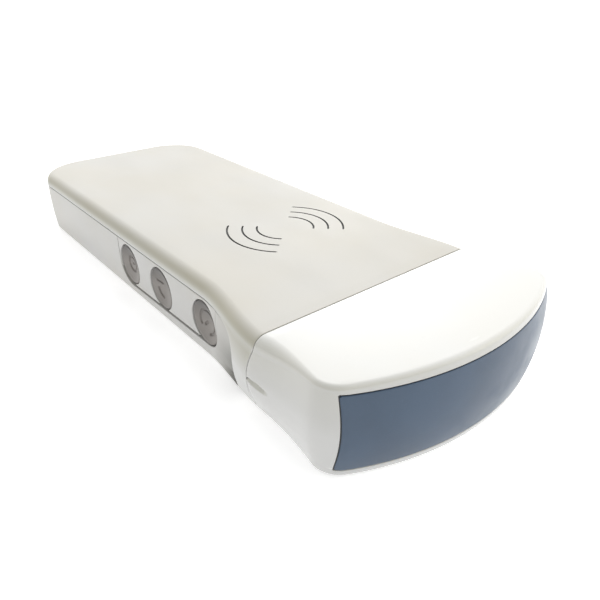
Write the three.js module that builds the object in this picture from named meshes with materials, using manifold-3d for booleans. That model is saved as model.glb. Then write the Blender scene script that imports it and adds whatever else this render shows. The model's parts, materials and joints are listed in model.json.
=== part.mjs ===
// Wireless handheld ultrasound scanner with a convex probe head.
// Millimetres. +Z is up, the probe head faces -Y and the three buttons are on the -X flank.
// The origin is under the middle of the scanner, on the surface that it lies on.
import * as THREE from 'three';
import { mergeVertices } from 'three/addons/utils/BufferGeometryUtils.js';
import Module from 'manifold-3d';

const wasm = await Module();
wasm.setup();

// ---------- driving dimensions ----------
const LENGTH = 156; // overall, over the bowed ends
const WIDTH = 60; // overall, over the bowed cheeks of the head
const BULGE_HANDLE = 0.25; // how far the grip's sides bow outwards at mid height
const BULGE_HEAD = 1; // how far the head's sides and probe face bow outwards
const REAR_Y = LENGTH / 2 - BULGE_HANDLE;
const TIP_Y = -LENGTH / 2 + BULGE_HEAD;
const SEAM_Y = -49.7; // plane where the probe head meets the handle
const FLARE_Y = -27.4; // the straight grip ends here and the flare begins
const GRIP_HALF = 26; // half width of the grip where the flare begins
const REAR_HALF = 27.4; // half width at the rear end
const HEAD_HALF = WIDTH / 2 - BULGE_HEAD;
const SEAM_HALF = HEAD_HALF - 0.2;
const NECK_DIP = 0.5; // how far the head necks in just in front of the seam
const REAR_CORNER = 13.6; // plan radius of the two rear corners
const HEAD_CORNER = 5.6; // plan radius of the two head corners
const PROBE_RADIUS = 56; // plan radius of the convex probe face
const PROBE_CENTRE_Y = TIP_Y + PROBE_RADIUS;
const HANDLE_TOP = 17.7;
const SEAM_TOP = 17.3;
const HEAD_TOP = 19.1;
const SEAM_BOTTOM = 1.8; // the underside is pinched upwards at the seam
const TOP_ROUND = 2.7;
const HEAD_ROUND = 1.8;
const BOTTOM_ROUND = 1.7;
const WALL = 2;
const SPLIT_Z = 14.5; // height of the parting line between the two covers along the grip
const SEAM_BOW = 1.3; // how far the seam leans rearwards at mid height on the flanks
const GAP = 0.3; // clearance between neighbouring pieces
const FAR = 200; // beyond the whole scanner, for cutting

const LENS = { half: 27.2, low: 2.0, high: 17.1, thick: 2.2, bond: 0.7 };
// The top cover comes down the sides in front of the grip, as a collar. The parting line bends
// down along the collar's rear edge, and the bottom cover goes on under it as a plate.
const COLLAR = { bendStartY: -27.5, rearY: -42.2, bendEndZ: 9.8, plateHalf: 25.6, plateTop: 5 };
const KEYPAD = { rearY: 7.8, middleY: -8.6, frontY: -28, z: 8.7, radius: 5.6, thick: 1.8 };
const CAP = { radius: 5.0, flange: 5.45, dish: 0.6, stemTipX: -23.3 };
const BOARD_Z = 9.9; // underside of the main board
const BOARD_THICK = 1;
const BOARD_TOP = BOARD_Z + BOARD_THICK;
const PORT = { z: 8.2, width: 8.94, height: 3.2, metal: 0.3, play: 0.3, sunk: 0.7, deep: 8 };
const LABEL = { halfX: 15, y0: 28, y1: 52, sink: 0.3 };
const ARRAY = { low: 4.3, high: 14.7, halfAngle: THREE.MathUtils.degToRad(26.5) };

// ---------- small helpers ----------
const smooth = (t) => {
  const s = Math.min(1, Math.max(0, t));
  return s * s * (3 - 2 * s);
};

/** A closed three.js geometry as a manifold solid. */
function toSolid(geometry) {
  const bare = geometry.clone();
  bare.deleteAttribute('normal');
  bare.deleteAttribute('uv');
  const merged = mergeVertices(bare, 1e-4);
  const triVerts = Uint32Array.from(merged.index.array);
  const vertProperties = Float32Array.from(merged.attributes.position.array);
  return new wasm.Manifold(new wasm.Mesh({ numProp: 3, vertProperties, triVerts }));
}

/** A manifold solid as a three.js geometry. */
function toGeometry(solid) {
  const mesh = solid.getMesh();
  const geometry = new THREE.BufferGeometry();
  geometry.setAttribute('position', new THREE.BufferAttribute(mesh.vertProperties, 3));
  geometry.setIndex(new THREE.BufferAttribute(mesh.triVerts, 1));
  geometry.computeVertexNormals();
  return geometry;
}

/** A box from its lowest to its highest corner. */
function block(low, high) {
  const size = high.map((v, i) => v - low[i]);
  const geometry = new THREE.BoxGeometry(...size);
  geometry.translate(low[0] + size[0] / 2, low[1] + size[1] / 2, low[2] + size[2] / 2);
  return geometry;
}

/** A box solid, for cutting. */
const cutter = (low, high) => toSolid(block(low, high));

/** An upright cylinder between two heights. */
function post(x, y, radius, low, high, sides = 14) {
  const geometry = new THREE.CylinderGeometry(radius, radius, high - low, sides);
  geometry.rotateX(Math.PI / 2);
  geometry.translate(x, y, (low + high) / 2);
  return geometry;
}

/** A plan outline, raised between two heights. */
function raised(shape, low, high, curveSegments = 24) {
  const geometry = new THREE.ExtrudeGeometry(shape, {
    depth: high - low,
    bevelEnabled: false,
    curveSegments,
  });
  geometry.translate(0, 0, low);
  return geometry;
}

/** An outline in the Y-Z plane, carried from one x to another. */
function across(shape, x0, x1, curveSegments = 16) {
  const geometry = new THREE.ExtrudeGeometry(shape, {
    depth: x1 - x0,
    bevelEnabled: false,
    curveSegments,
  });
  geometry.rotateX(Math.PI / 2);
  geometry.rotateZ(Math.PI / 2);
  geometry.translate(x0, 0, 0);
  return geometry;
}

// ---------- outer form ----------
function halfWidth(y) {
  if (y >= FLARE_Y) {
    return GRIP_HALF + ((REAR_HALF - GRIP_HALF) * (y - FLARE_Y)) / (REAR_Y - FLARE_Y);
  }
  if (y >= SEAM_Y) {
    return GRIP_HALF + (SEAM_HALF - GRIP_HALF) * smooth((FLARE_Y - y) / (FLARE_Y - SEAM_Y));
  }
  const t = Math.min(1, (SEAM_Y - y) / (SEAM_Y - headCorner.y));
  return SEAM_HALF + (HEAD_HALF - SEAM_HALF) * t - NECK_DIP * Math.sin(Math.PI * t);
}

function topHeight(y) {
  if (y >= SEAM_Y) {
    return HANDLE_TOP + (SEAM_TOP - HANDLE_TOP) * smooth((FLARE_Y - y) / (FLARE_Y - SEAM_Y));
  }
  return SEAM_TOP + ((HEAD_TOP - SEAM_TOP) * (SEAM_Y - y)) / (SEAM_Y - TIP_Y);
}

function bottomHeight(y) {
  if (y >= SEAM_Y) {
    return SEAM_BOTTOM * smooth((FLARE_Y - y) / (FLARE_Y - SEAM_Y));
  }
  return SEAM_BOTTOM * Math.max(0, 1 - (SEAM_Y - y) / (SEAM_Y - headCorner.y));
}

// Centre of the head corner's plan fillet: it meets the flank and the probe face.
const headCorner = (() => {
  const x = HEAD_HALF - HEAD_CORNER;
  const reach = PROBE_RADIUS - HEAD_CORNER;
  return { x, y: PROBE_CENTRE_Y - Math.sqrt(reach * reach - x * x) };
})();

/** Left half of the plan outline, moved inwards by inset(y), from the rear edge to the probe's tip. */
function leftOutline(inset) {
  const points = [];
  const rearX = halfWidth(REAR_Y - REAR_CORNER) - REAR_CORNER;
  for (let i = 0; i <= 6; i++) {
    const angle = ((i / 6) * Math.PI) / 2;
    const radius = REAR_CORNER - inset(REAR_Y);
    points.push([
      -rearX - radius * Math.sin(angle),
      REAR_Y - REAR_CORNER + radius * Math.cos(angle),
    ]);
  }
  const flankSteps = [20, FLARE_Y];
  const flareCount = 6;
  for (let i = 1; i <= flareCount; i++) {
    flankSteps.push(FLARE_Y + ((SEAM_Y - FLARE_Y) * i) / flareCount);
  }
  for (let i = 1; i <= 3; i++) {
    flankSteps.push(SEAM_Y + ((headCorner.y - SEAM_Y) * i) / 4);
  }
  for (const y of flankSteps) {
    points.push([-halfWidth(y) + inset(y), y]);
  }
  const probeAngle = Math.atan2(headCorner.x, PROBE_CENTRE_Y - headCorner.y);
  const cornerTurn = Math.PI / 2 - probeAngle;
  for (let i = 0; i <= 4; i++) {
    const angle = (cornerTurn * i) / 4;
    const radius = Math.max(0.2, HEAD_CORNER - inset(headCorner.y));
    points.push([
      -headCorner.x - radius * Math.cos(angle),
      headCorner.y - radius * Math.sin(angle),
    ]);
  }
  for (let i = 1; i <= 8; i++) {
    const angle = probeAngle * (1 - i / 8);
    const radius = PROBE_RADIUS - inset(TIP_Y);
    points.push([-radius * Math.sin(angle), PROBE_CENTRE_Y - radius * Math.cos(angle)]);
  }
  return points;
}

/** The scanner's outer form, moved inwards by `depth`, as one solid. */
function form(depth, fine = false) {
  const roundAt = (y) => {
    const full = TOP_ROUND + (HEAD_ROUND - TOP_ROUND) * smooth((SEAM_Y - y) / (SEAM_Y - TIP_Y));
    return Math.max(0.4, full - depth);
  };
  const low = Math.max(0.4, BOTTOM_ROUND - depth);
  const bulgeAt = (y) => {
    const share = smooth((FLARE_Y - y) / (FLARE_Y - SEAM_Y));
    return BULGE_HANDLE + (BULGE_HEAD - BULGE_HANDLE) * share;
  };
  const levels = [];
  const roundSteps = fine ? 3 : 1;
  for (let i = 0; i <= roundSteps; i++) {
    const angle = ((i / roundSteps) * Math.PI) / 2;
    levels.push({
      inset: (y) => depth + roundAt(y) * (1 - Math.sin(angle)),
      z: (y) => topHeight(y) - depth - roundAt(y) * (1 - Math.cos(angle)),
    });
  }
  const bowSteps = fine ? 4 : 2;
  for (let i = 1; i < bowSteps; i++) {
    const s = i / bowSteps;
    levels.push({
      inset: (y) => depth - bulgeAt(y) * 4 * s * (1 - s),
      z: (y) => {
        const from = topHeight(y) - depth - roundAt(y);
        const to = bottomHeight(y) + depth + low;
        return from + (to - from) * s;
      },
    });
  }
  const lowSteps = fine ? 2 : 1;
  for (let i = 0; i <= lowSteps; i++) {
    const angle = ((1 - i / lowSteps) * Math.PI) / 2;
    levels.push({
      inset: () => depth + low * (1 - Math.sin(angle)),
      z: (y) => bottomHeight(y) + depth + low * (1 - Math.cos(angle)),
    });
  }
  const positions = [];
  const rings = levels.map(({ inset, z }) => {
    const left = leftOutline(inset);
    const right = left.slice(0, -1).reverse().map(([x, y]) => [-x, y]);
    return [...left, ...right].map(([x, y]) => {
      positions.push(x, y, z(y));
      return positions.length / 3 - 1;
    });
  });
  const count = rings[0].length;
  const index = [];
  for (let k = 0; k + 1 < rings.length; k++) {
    for (let i = 0; i < count; i++) {
      const j = (i + 1) % count;
      index.push(rings[k][i], rings[k + 1][i], rings[k + 1][j]);
      index.push(rings[k][i], rings[k + 1][j], rings[k][j]);
    }
  }
  const cap = (ring, up) => {
    for (let i = 0; i < (count - 1) / 2; i++) {
      const [a, b, c, d] = [ring[i], ring[i + 1], ring[count - 2 - i], ring[count - 1 - i]];
      const faces = b === c ? [[a, b, d]] : [[a, b, c], [a, c, d]];
      for (const face of faces) {
        index.push(...(up ? face : face.reverse()));
      }
    }
  };
  cap(rings[0], true);
  cap(rings[rings.length - 1], false);
  const geometry = new THREE.BufferGeometry();
  geometry.setAttribute('position', new THREE.Float32BufferAttribute(positions, 3));
  geometry.setIndex(index);
  return toSolid(geometry);
}

/** An upright ring along the side walls between two insets and two heights. */
function wallRing(fromInset, toInset, low, high) {
  const prism = (inset, from, to) => {
    const left = leftOutline(() => inset);
    const right = left.slice(0, -1).reverse().map(([x, y]) => [-x, y]);
    const shape = new THREE.Shape([...left, ...right].map(([x, y]) => new THREE.Vector2(x, y)));
    return toSolid(raised(shape, from, to));
  };
  return prism(fromInset, low, high).subtract(prism(toInset, low - 1, high + 1));
}

/** Everything on one side of the bowed seam: side -1 is the head's and side 1 the handle's. */
function besideSeam(side) {
  const y = SEAM_Y + (side * GAP) / 2;
  const [low, high] = [SEAM_BOTTOM, HANDLE_TOP - TOP_ROUND];
  const shape = new THREE.Shape();
  shape.moveTo(side * FAR, -FAR);
  shape.lineTo(y, -FAR);
  shape.lineTo(y, low);
  shape.quadraticCurveTo(y + 2 * SEAM_BOW, (low + high) / 2, y, high);
  shape.lineTo(y, FAR);
  shape.lineTo(side * FAR, FAR);
  return toSolid(across(shape, -FAR, FAR, 8));
}

/** Everything on one side of the covers' parting line: side 1 is the top cover's. */
function besideParting(side) {
  const shift = (side * GAP) / 2;
  const [startY, endY] = [COLLAR.bendStartY - shift, COLLAR.rearY - shift];
  const splitZ = SPLIT_Z + shift;
  const shape = new THREE.Shape();
  shape.moveTo(FAR, splitZ);
  shape.lineTo(startY, splitZ);
  shape.bezierCurveTo(startY - 10, splitZ + 0.1, endY + 0.1, splitZ - 0.3, endY, COLLAR.bendEndZ + shift);
  shape.lineTo(endY, -FAR);
  if (side > 0) {
    shape.lineTo(-FAR, -FAR);
    shape.lineTo(-FAR, FAR);
  }
  shape.lineTo(FAR, side * FAR);
  return toSolid(across(shape, -FAR, FAR, 10));
}

/** The space of the bottom cover's plate under the collar, grown by `grow`. */
function collarPlate(grow) {
  const half = COLLAR.plateHalf + grow;
  return cutter([-half, -FAR, -FAR], [half, COLLAR.rearY + 1, COLLAR.plateTop + grow]);
}

const outer = form(0, true);
const inner = form(WALL);
const wall = outer.subtract(inner);
const handleWall = wall.intersect(besideSeam(1));
const headWall = wall.intersect(besideSeam(-1));
const behindTongue = cutter([-FAR, SEAM_Y + 7.2, -FAR], [FAR, FAR, FAR]);

/** The keypad's outline on the left flank: round below, square above, grown by `grow`. */
function keypadOutline(grow, top) {
  const radius = KEYPAD.radius + grow;
  const shape = new THREE.Shape();
  shape.absarc(KEYPAD.frontY, KEYPAD.z, radius, Math.PI, (3 * Math.PI) / 2, false);
  shape.absarc(KEYPAD.rearY, KEYPAD.z, radius, -Math.PI / 2, 0, false);
  shape.lineTo(KEYPAD.rearY + radius, top);
  shape.lineTo(KEYPAD.frontY - radius, top);
  return toSolid(across(shape, -32, -20));
}

// ---------- screws and their places ----------
const COVER_SCREWS = {
  rear_left: [-21.3, 62],
  rear_right: [21.3, 62],
  middle_left: [-21.3, 22],
  middle_right: [21.3, 22],
};
const HEAD_SCREWS = { left: [-19.5, -43.5], right: [19.5, -43.5] };
const BOARD_SCREWS = {
  rear_left: [-15.5, 60],
  rear_right: [15.5, 60],
  front_left: [-15.5, -27],
  front_right: [15.5, -27],
};
const COVER_SCREW = { headRadius: 1.9, shaft: 0.9, top: 13, sink: 1.5 };
const BOARD_SCREW = { headRadius: 1.5, shaft: 0.7, headHeight: 0.9, tip: 8.3 };

/** A pan-head screw standing on its head, from headLow up to the tip. */
function risingScrew(x, y, headLow, headHeight, tip) {
  const { headRadius, shaft } = COVER_SCREW;
  const socket = toSolid(post(x, y, 0.75, headLow - 1, headLow + 0.7, 6));
  const head = toSolid(post(x, y, headRadius, headLow, headLow + headHeight, 16));
  const body = toSolid(post(x, y, shaft, headLow + headHeight / 2, tip, 10));
  return toGeometry(head.add(body).subtract(socket));
}

/** A pan-head screw hanging from the main board's top face. */
function boardScrew(x, y) {
  const { headRadius, shaft, headHeight, tip } = BOARD_SCREW;
  const seat = BOARD_TOP + 0.1;
  const socket = toSolid(post(x, y, 0.6, seat + headHeight / 2, seat + headHeight + 1, 6));
  const head = toSolid(post(x, y, headRadius, seat, seat + headHeight, 14));
  const body = toSolid(post(x, y, shaft, tip, seat + headHeight / 2, 8));
  return toGeometry(head.add(body).subtract(socket));
}

// ---------- housing ----------
function topCover() {
  let cover = handleWall.intersect(besideParting(1)).subtract(collarPlate(GAP));
  const ceiling = HANDLE_TOP - WALL;
  const lip = wallRing(WALL + 0.9, WALL + 1.6, SPLIT_Z - 0.2, ceiling + 0.3);
  cover = cover.add(lip.intersect(behindTongue));
  for (const [x, y] of Object.values(COVER_SCREWS)) {
    cover = cover.add(toSolid(post(x, y, 2.2, 7.4, ceiling + 0.6)));
    cover = cover.subtract(toSolid(post(x, y, 1.1, 7, 14.2, 12)));
  }
  return toGeometry(cover);
}

function bottomCover() {
  let cover = handleWall.intersect(besideParting(-1).add(collarPlate(0)));
  for (const [x, y] of Object.values(COVER_SCREWS)) {
    cover = cover.add(toSolid(post(x, y, 2.4, 1, 7)));
    cover = cover.subtract(toSolid(post(x, y, 1.1, -1, 8, 16)));
    cover = cover.subtract(toSolid(post(x, y, 2.2, -1, COVER_SCREW.sink, 18)));
  }
  for (const [x, y] of Object.values(HEAD_SCREWS)) {
    cover = cover.subtract(toSolid(post(x, y, 1.1, -1, 8, 16)));
    cover = cover.subtract(toSolid(post(x, y, 2.2, -1, bottomHeight(y) + 1.3, 18)));
  }
  cover = cover.subtract(keypadOutline(0.25, SPLIT_Z + 1));
  cover = cover.add(cutter([-19.9, -37, 1.5], [-19.1, -33, 12.5]));
  cover = cover.add(cutter([-19.9, 13, 1.5], [-19.1, 16, 12.5]));
  const [portWidth, portHeight] = [PORT.width + 2 * PORT.play, PORT.height + 2 * PORT.play];
  cover = cover.subtract(toSolid(portOpening(portWidth, portHeight, REAR_Y - 4, REAR_Y + 2)));
  cover = cover.subtract(cutter([-LABEL.halfX - 0.3, LABEL.y0 - 0.3, -1],
    [LABEL.halfX + 0.3, LABEL.y1 + 0.3, LABEL.sink]));
  return toGeometry(cover);
}

function headShell() {
  let shell = headWall;
  const grow = LENS.bond;
  shell = shell.subtract(cutter([-LENS.half - grow, -FAR, LENS.low - grow],
    [LENS.half + grow, -64, LENS.high + grow]));
  const tongue = form(WALL + 0.9).subtract(form(WALL + 2));
  const reach = cutter([-FAR, SEAM_Y - 2.5, -FAR], [FAR, SEAM_Y + 6, FAR]);
  const root = form(WALL - 0.3).subtract(form(WALL + 2));
  const rootReach = cutter([-FAR, SEAM_Y - 3, -FAR], [FAR, SEAM_Y - 1.2, FAR]);
  shell = shell.add(tongue.intersect(reach)).add(root.intersect(rootReach));
  for (const [x, y] of Object.values(HEAD_SCREWS)) {
    shell = shell.add(toSolid(post(x, y, 2.6, 4.4, 12.4)));
    const web = cutter([x - 1.2, SEAM_Y + 3, 4.9], [x + 1.2, y, 12.4]);
    shell = shell.add(web);
    shell = shell.subtract(toSolid(post(x, y, 1.1, 3, 11.6, 12)));
  }
  return toGeometry(shell);
}

function acousticLens() {
  const window = cutter([-LENS.half, -FAR, LENS.low], [LENS.half, -64, LENS.high]);
  return toGeometry(form(0, true).subtract(form(LENS.thick)).intersect(window));
}

function lensBond() {
  const near = 0.2;
  const far = LENS.bond - 0.2;
  const big = cutter([-LENS.half - far, -FAR, LENS.low - far],
    [LENS.half + far, -64, LENS.high + far]);
  const small = cutter([-LENS.half - near, -FAR, LENS.low - near],
    [LENS.half + near, -60, LENS.high + near]);
  return toGeometry(form(0.35).subtract(form(WALL)).intersect(big).subtract(small));
}

function coverSeal() {
  const ring = wallRing(WALL + 0.28, WALL + 0.78, SPLIT_Z - 0.35, SPLIT_Z + 0.3);
  return toGeometry(ring.intersect(behindTongue));
}

function headSeal() {
  const ring = form(WALL + 0.15).subtract(form(WALL + 0.75));
  return toGeometry(ring.intersect(cutter([-FAR, SEAM_Y + 1, -FAR], [FAR, SEAM_Y + 1.9, FAR])));
}

// ---------- keypad ----------
function keypadPanel() {
  const face = form(0.12, true).subtract(form(KEYPAD.thick));
  let panel = face.intersect(keypadOutline(0, SPLIT_Z - GAP / 2));
  for (const y of [KEYPAD.rearY, KEYPAD.middleY, KEYPAD.frontY]) {
    const hole = new THREE.CylinderGeometry(CAP.radius + 0.2, CAP.radius + 0.2, 20, 28);
    hole.rotateZ(Math.PI / 2);
    hole.translate(-25, y, KEYPAD.z);
    panel = panel.subtract(toSolid(hole));
  }
  return toGeometry(panel);
}

/** A dished button cap with a retaining flange and a stem that reaches towards its switch. */
function buttonCap(y) {
  const faceX = halfWidth(y) + BULGE_HANDLE - 0.2;
  const stem = faceX + CAP.stemTipX;
  const profile = [
    [0, -CAP.dish],
    [CAP.radius * 0.4, -CAP.dish * 0.86],
    [CAP.radius * 0.75, -CAP.dish * 0.45],
    [CAP.radius - 0.4, 0],
    [CAP.radius, -0.3],
    [CAP.radius, -2],
    [CAP.flange, -2],
    [CAP.flange, -2.5],
    [1.3, -2.5],
    [1.3, -stem],
    [0, -stem],
  ];
  const points = profile.reverse().map(([r, h]) => new THREE.Vector2(r, h));
  const cap = new THREE.LatheGeometry(points, 28);
  cap.rotateZ(Math.PI / 2);
  cap.translate(-faceX, y, KEYPAD.z);
  return toGeometry(toSolid(cap));
}

function tactSwitch(y) {
  const body = cutter([-22.3, y - 2.3, KEYPAD.z - 2.3], [-21.3, y + 2.3, KEYPAD.z + 2.3]);
  const plunger = new THREE.CylinderGeometry(1.2, 1.2, 1, 14);
  plunger.rotateZ(Math.PI / 2);
  plunger.translate(-22.1, y, KEYPAD.z);
  return toGeometry(body.add(toSolid(plunger)));
}

function keypadFlex() {
  const board = cutter([-19.95, -6, 7.5], [-19.75, 2, BOARD_TOP + 0.45]);
  const turn = cutter([-19.95, -6, BOARD_TOP + 0.25], [-13, 2, BOARD_TOP + 0.45]);
  return toGeometry(board.add(turn));
}

// ---------- power and electronics ----------
/** A rounded slot through the rear wall. */
function portOpening(width, height, y0, y1) {
  const r = height / 2;
  const shape = new THREE.Shape();
  shape.absarc(width / 2 - r, 0, r, -Math.PI / 2, Math.PI / 2, false);
  shape.absarc(-width / 2 + r, 0, r, Math.PI / 2, (3 * Math.PI) / 2, false);
  const slot = new THREE.ExtrudeGeometry(shape, {
    depth: y1 - y0,
    bevelEnabled: false,
    curveSegments: 10,
  });
  slot.rotateX(Math.PI / 2);
  slot.translate(0, y1, PORT.z);
  return slot;
}

function chargePort() {
  const { z, width, height, metal, sunk, deep } = PORT;
  const [mouthWidth, mouthHeight] = [width - 2 * metal, height - 2 * metal];
  const shell = toSolid(portOpening(width, height, REAR_Y - deep, REAR_Y - sunk));
  const mouth = toSolid(portOpening(mouthWidth, mouthHeight, REAR_Y - deep + 1, REAR_Y + 1));
  const tongue = cutter([-3.3, REAR_Y - deep + 0.5, z - 0.35], [3.3, REAR_Y - 2 * sunk, z + 0.35]);
  return toGeometry(shell.subtract(mouth).add(tongue));
}

function midFrame() {
  let frame = cutter([-18.1, -31, 8.2], [18.1, 68.5, 9.2]);
  const rails = [
    [[-18.1, -31, 2.4], [-17.3, 68.5, 8.5]],
    [[17.3, -31, 2.4], [18.1, 68.5, 8.5]],
    [[-18.1, 67.7, 2.4], [18.1, 68.5, 8.5]],
    [[-18.1, -31, 2.4], [18.1, -30.2, 8.5]],
  ];
  for (const [low, high] of rails) {
    frame = frame.add(cutter(low, high));
  }
  frame = frame.subtract(cutter([3, -26, 8], [16, -12, 9.5]));
  frame = frame.subtract(cutter([-12, 4, 8], [12, 24, 9.5]));
  frame = frame.subtract(cutter([-12, 30, 8], [12, 50, 9.5]));
  for (const [x, y] of Object.values(BOARD_SCREWS)) {
    frame = frame.add(toSolid(post(x, y, 2, 9, BOARD_Z - 0.1)));
    frame = frame.subtract(toSolid(post(x, y, 0.9, 8, 10.5, 12)));
  }
  return toGeometry(frame);
}

function mainBoard() {
  let board = cutter([-18.8, -40, BOARD_Z], [18.8, 72, BOARD_TOP]);
  for (const [x, y] of Object.values(BOARD_SCREWS)) {
    board = board.subtract(toSolid(post(x, y, 1, 9, 12, 12)));
  }
  return toGeometry(board);
}

function shieldCan() {
  const can = cutter([-11, 22, BOARD_TOP + 0.1], [11, 42, BOARD_TOP + 2.6]);
  return toGeometry(can.subtract(cutter([-10.7, 22.3, BOARD_TOP - 1], [10.7, 41.7, BOARD_TOP + 2.3])));
}

/** A lead that runs in a Y-Z plane through the given points, as a flat ribbon. */
function ribbon(points, x0, x1, thick) {
  const outline = new THREE.Shape();
  const under = points.map(([y, z]) => new THREE.Vector2(y, z));
  const over = points.map(([y, z]) => new THREE.Vector2(y, z + thick)).reverse();
  outline.setFromPoints([...under, ...over]);
  return toGeometry(toSolid(across(outline, x0, x1)));
}

// ---------- transducer ----------
/** A curved layer of the array between two radii about the probe's centre. */
function arrayLayer(outerRadius, thick) {
  const mid = (3 * Math.PI) / 2;
  const shape = new THREE.Shape();
  const [start, end] = [mid - ARRAY.halfAngle, mid + ARRAY.halfAngle];
  shape.absarc(0, PROBE_CENTRE_Y, outerRadius, start, end, false);
  shape.absarc(0, PROBE_CENTRE_Y, outerRadius - thick, end, start, true);
  return raised(shape, ARRAY.low, ARRAY.high, 14);
}

function backingBlock(radius) {
  const mid = (3 * Math.PI) / 2;
  const shape = new THREE.Shape();
  shape.absarc(0, PROBE_CENTRE_Y, radius, mid - ARRAY.halfAngle, mid + ARRAY.halfAngle, false);
  const backX = radius * Math.sin(ARRAY.halfAngle);
  shape.lineTo(backX, -60);
  shape.lineTo(-backX, -60);
  return raised(shape, ARRAY.low, ARRAY.high, 14);
}

function arrayFrame() {
  const outerBox = cutter([-25.8, -66, ARRAY.low - 0.9], [25.8, -56, ARRAY.high + 0.9]);
  const innerBox = cutter([-23.9, -70, ARRAY.low - 0.2], [23.9, -50, ARRAY.high + 0.2]);
  return toGeometry(outerBox.subtract(innerBox));
}

// ---------- materials ----------
const finish = (color, roughness, metalness = 0) =>
  new THREE.MeshStandardMaterial({ color, roughness, metalness });
const CREAM = () => finish(0xe9e6dc, 0.45);
const COOL_WHITE = () => finish(0xdcdedb, 0.45);
const GLOSS_WHITE = () => finish(0xf3f3ee, 0.2);
const LENS_BLUE = () => finish(0x5f7386, 0.5);
const SEAL_GREY = () => finish(0x50545a, 0.8);
const KEY_GREY = () => finish(0x9d9893, 0.6);
const BOARD_GREEN = () => finish(0x1d5b3a, 0.5);
const CHIP_BLACK = () => finish(0x1b1c1e, 0.5);
const STEEL = () => finish(0xb9bcc0, 0.3, 1);
const ALUMINIUM = () => finish(0xc5c8cb, 0.4, 1);
const FRAME_BLACK = () => finish(0x2a2b2d, 0.7);
const FOIL = () => finish(0xa8abb0, 0.45, 0.6);
const POLYIMIDE = () => finish(0xb8762a, 0.4);
const CERAMIC = () => finish(0xcfc7b4, 0.5);
const PAD_BLUE = () => finish(0x7f9bb5, 0.8);
const LABEL_SILVER = () => finish(0xd7d8da, 0.5);

// ---------- the assembly ----------
const scanner = new THREE.Group();

function add(name, geometry, material) {
  const mesh = new THREE.Mesh(geometry, material);
  mesh.name = name;
  scanner.add(mesh);
}

add('top_cover', topCover(), CREAM());
add('bottom_cover', bottomCover(), COOL_WHITE());
add('head_shell', headShell(), GLOSS_WHITE());
add('acoustic_lens', acousticLens(), LENS_BLUE());
add('lens_bond', lensBond(), SEAL_GREY());
add('cover_seal', coverSeal(), SEAL_GREY());
add('head_seal', headSeal(), SEAL_GREY());

add('keypad_panel', keypadPanel(), COOL_WHITE());
for (const key of ['rear', 'middle', 'front']) {
  const y = KEYPAD[`${key}Y`];
  add(`button_${key}`, buttonCap(y), KEY_GREY());
  add(`switch_${key}`, tactSwitch(y), STEEL());
}
add('keypad_board', block([-21.1, -34.5, 4], [-20.1, 14.5, 13.4]), BOARD_GREEN());
add('keypad_flex', keypadFlex(), POLYIMIDE());

add('mid_frame', midFrame(), FRAME_BLACK());
add('battery_pack', block([-17, -6, 2.5], [17, 66, 7.8]), FOIL());
add('battery_socket', block([5, -24, 7], [14, -18, BOARD_Z - 0.1]), CERAMIC());
const LEAD_ROUTE = [[-17.7, 7.6], [-14, 7.2], [-10, 5.4], [-6.3, 5]];
add('battery_lead', ribbon(LEAD_ROUTE, 7, 12, 1.1), CHIP_BLACK());
add('main_board', mainBoard(), BOARD_GREEN());
add('shield_can', shieldCan(), STEEL());
add('processor_chip', block([-8.5, -2, BOARD_TOP + 0.1], [8.5, 15, BOARD_TOP + 1.5]), CHIP_BLACK());
add('thermal_pad', block([-8, -1.5, BOARD_TOP + 1.7], [8, 14.5, 14.2]), PAD_BLUE());
add('heat_spreader', block([-17, -30, 14.4], [17, 18, 15.2]), ALUMINIUM());
const CHIP_X = {
  pulser_chip_left: -13.6,
  receiver_chip_left: -4.6,
  receiver_chip_right: 4.6,
  pulser_chip_right: 13.6,
};
for (const [name, x] of Object.entries(CHIP_X)) {
  add(name, block([x - 3.9, -20, BOARD_TOP + 0.1], [x + 3.9, -12, BOARD_TOP + 1.1]), CHIP_BLACK());
}
add('wifi_module', block([-7, 46, BOARD_TOP + 0.1], [7, 62, BOARD_TOP + 2.1]), STEEL());
add('wifi_antenna', block([-15, 64, 14.9], [15, 71, 15.2]), POLYIMIDE());
add('charge_port', chargePort(), STEEL());
const labelLow = [-LABEL.halfX, LABEL.y0, 0.05];
add('rating_label', block(labelLow, [LABEL.halfX, LABEL.y1, 0.2]), LABEL_SILVER());

const layers = PROBE_RADIUS - LENS.thick;
add('array_frame', arrayFrame(), ALUMINIUM());
add('matching_layer', arrayLayer(layers - 0.2, 0.5), PAD_BLUE());
add('piezo_array', arrayLayer(layers - 0.9, 0.6), CERAMIC());
add('backing_block', backingBlock(layers - 1.7), CHIP_BLACK());
for (const [name, low] of [['upper', BOARD_TOP + 0.1], ['lower', BOARD_Z - 1.3]]) {
  add(`array_connector_${name}`, block([-15, -39, low], [15, -34, low + 1.2]), CERAMIC());
}
const UPPER_ROUTE = [[-59.7, 12.6], [-34.6, 12.35]];
const LOWER_ROUTE = [[-59.7, 6.2], [-52, 6.2], [-46, 8.1], [-34.6, 8.1]];
add('array_flex_upper', ribbon(UPPER_ROUTE, -14, 14, 0.2), POLYIMIDE());
add('array_flex_lower', ribbon(LOWER_ROUTE, -14, 14, 0.2), POLYIMIDE());

for (const [place, [x, y]] of Object.entries(COVER_SCREWS)) {
  add(`cover_screw_${place}`, risingScrew(x, y, 0.15, 1.2, COVER_SCREW.top), STEEL());
}
for (const [place, [x, y]] of Object.entries(HEAD_SCREWS)) {
  add(`head_screw_${place}`, risingScrew(x, y, bottomHeight(y) + 0.1, 1, 10.5), STEEL());
}
for (const [place, [x, y]] of Object.entries(BOARD_SCREWS)) {
  add(`board_screw_${place}`, boardScrew(x, y), STEEL());
}

export default scanner;
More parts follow.
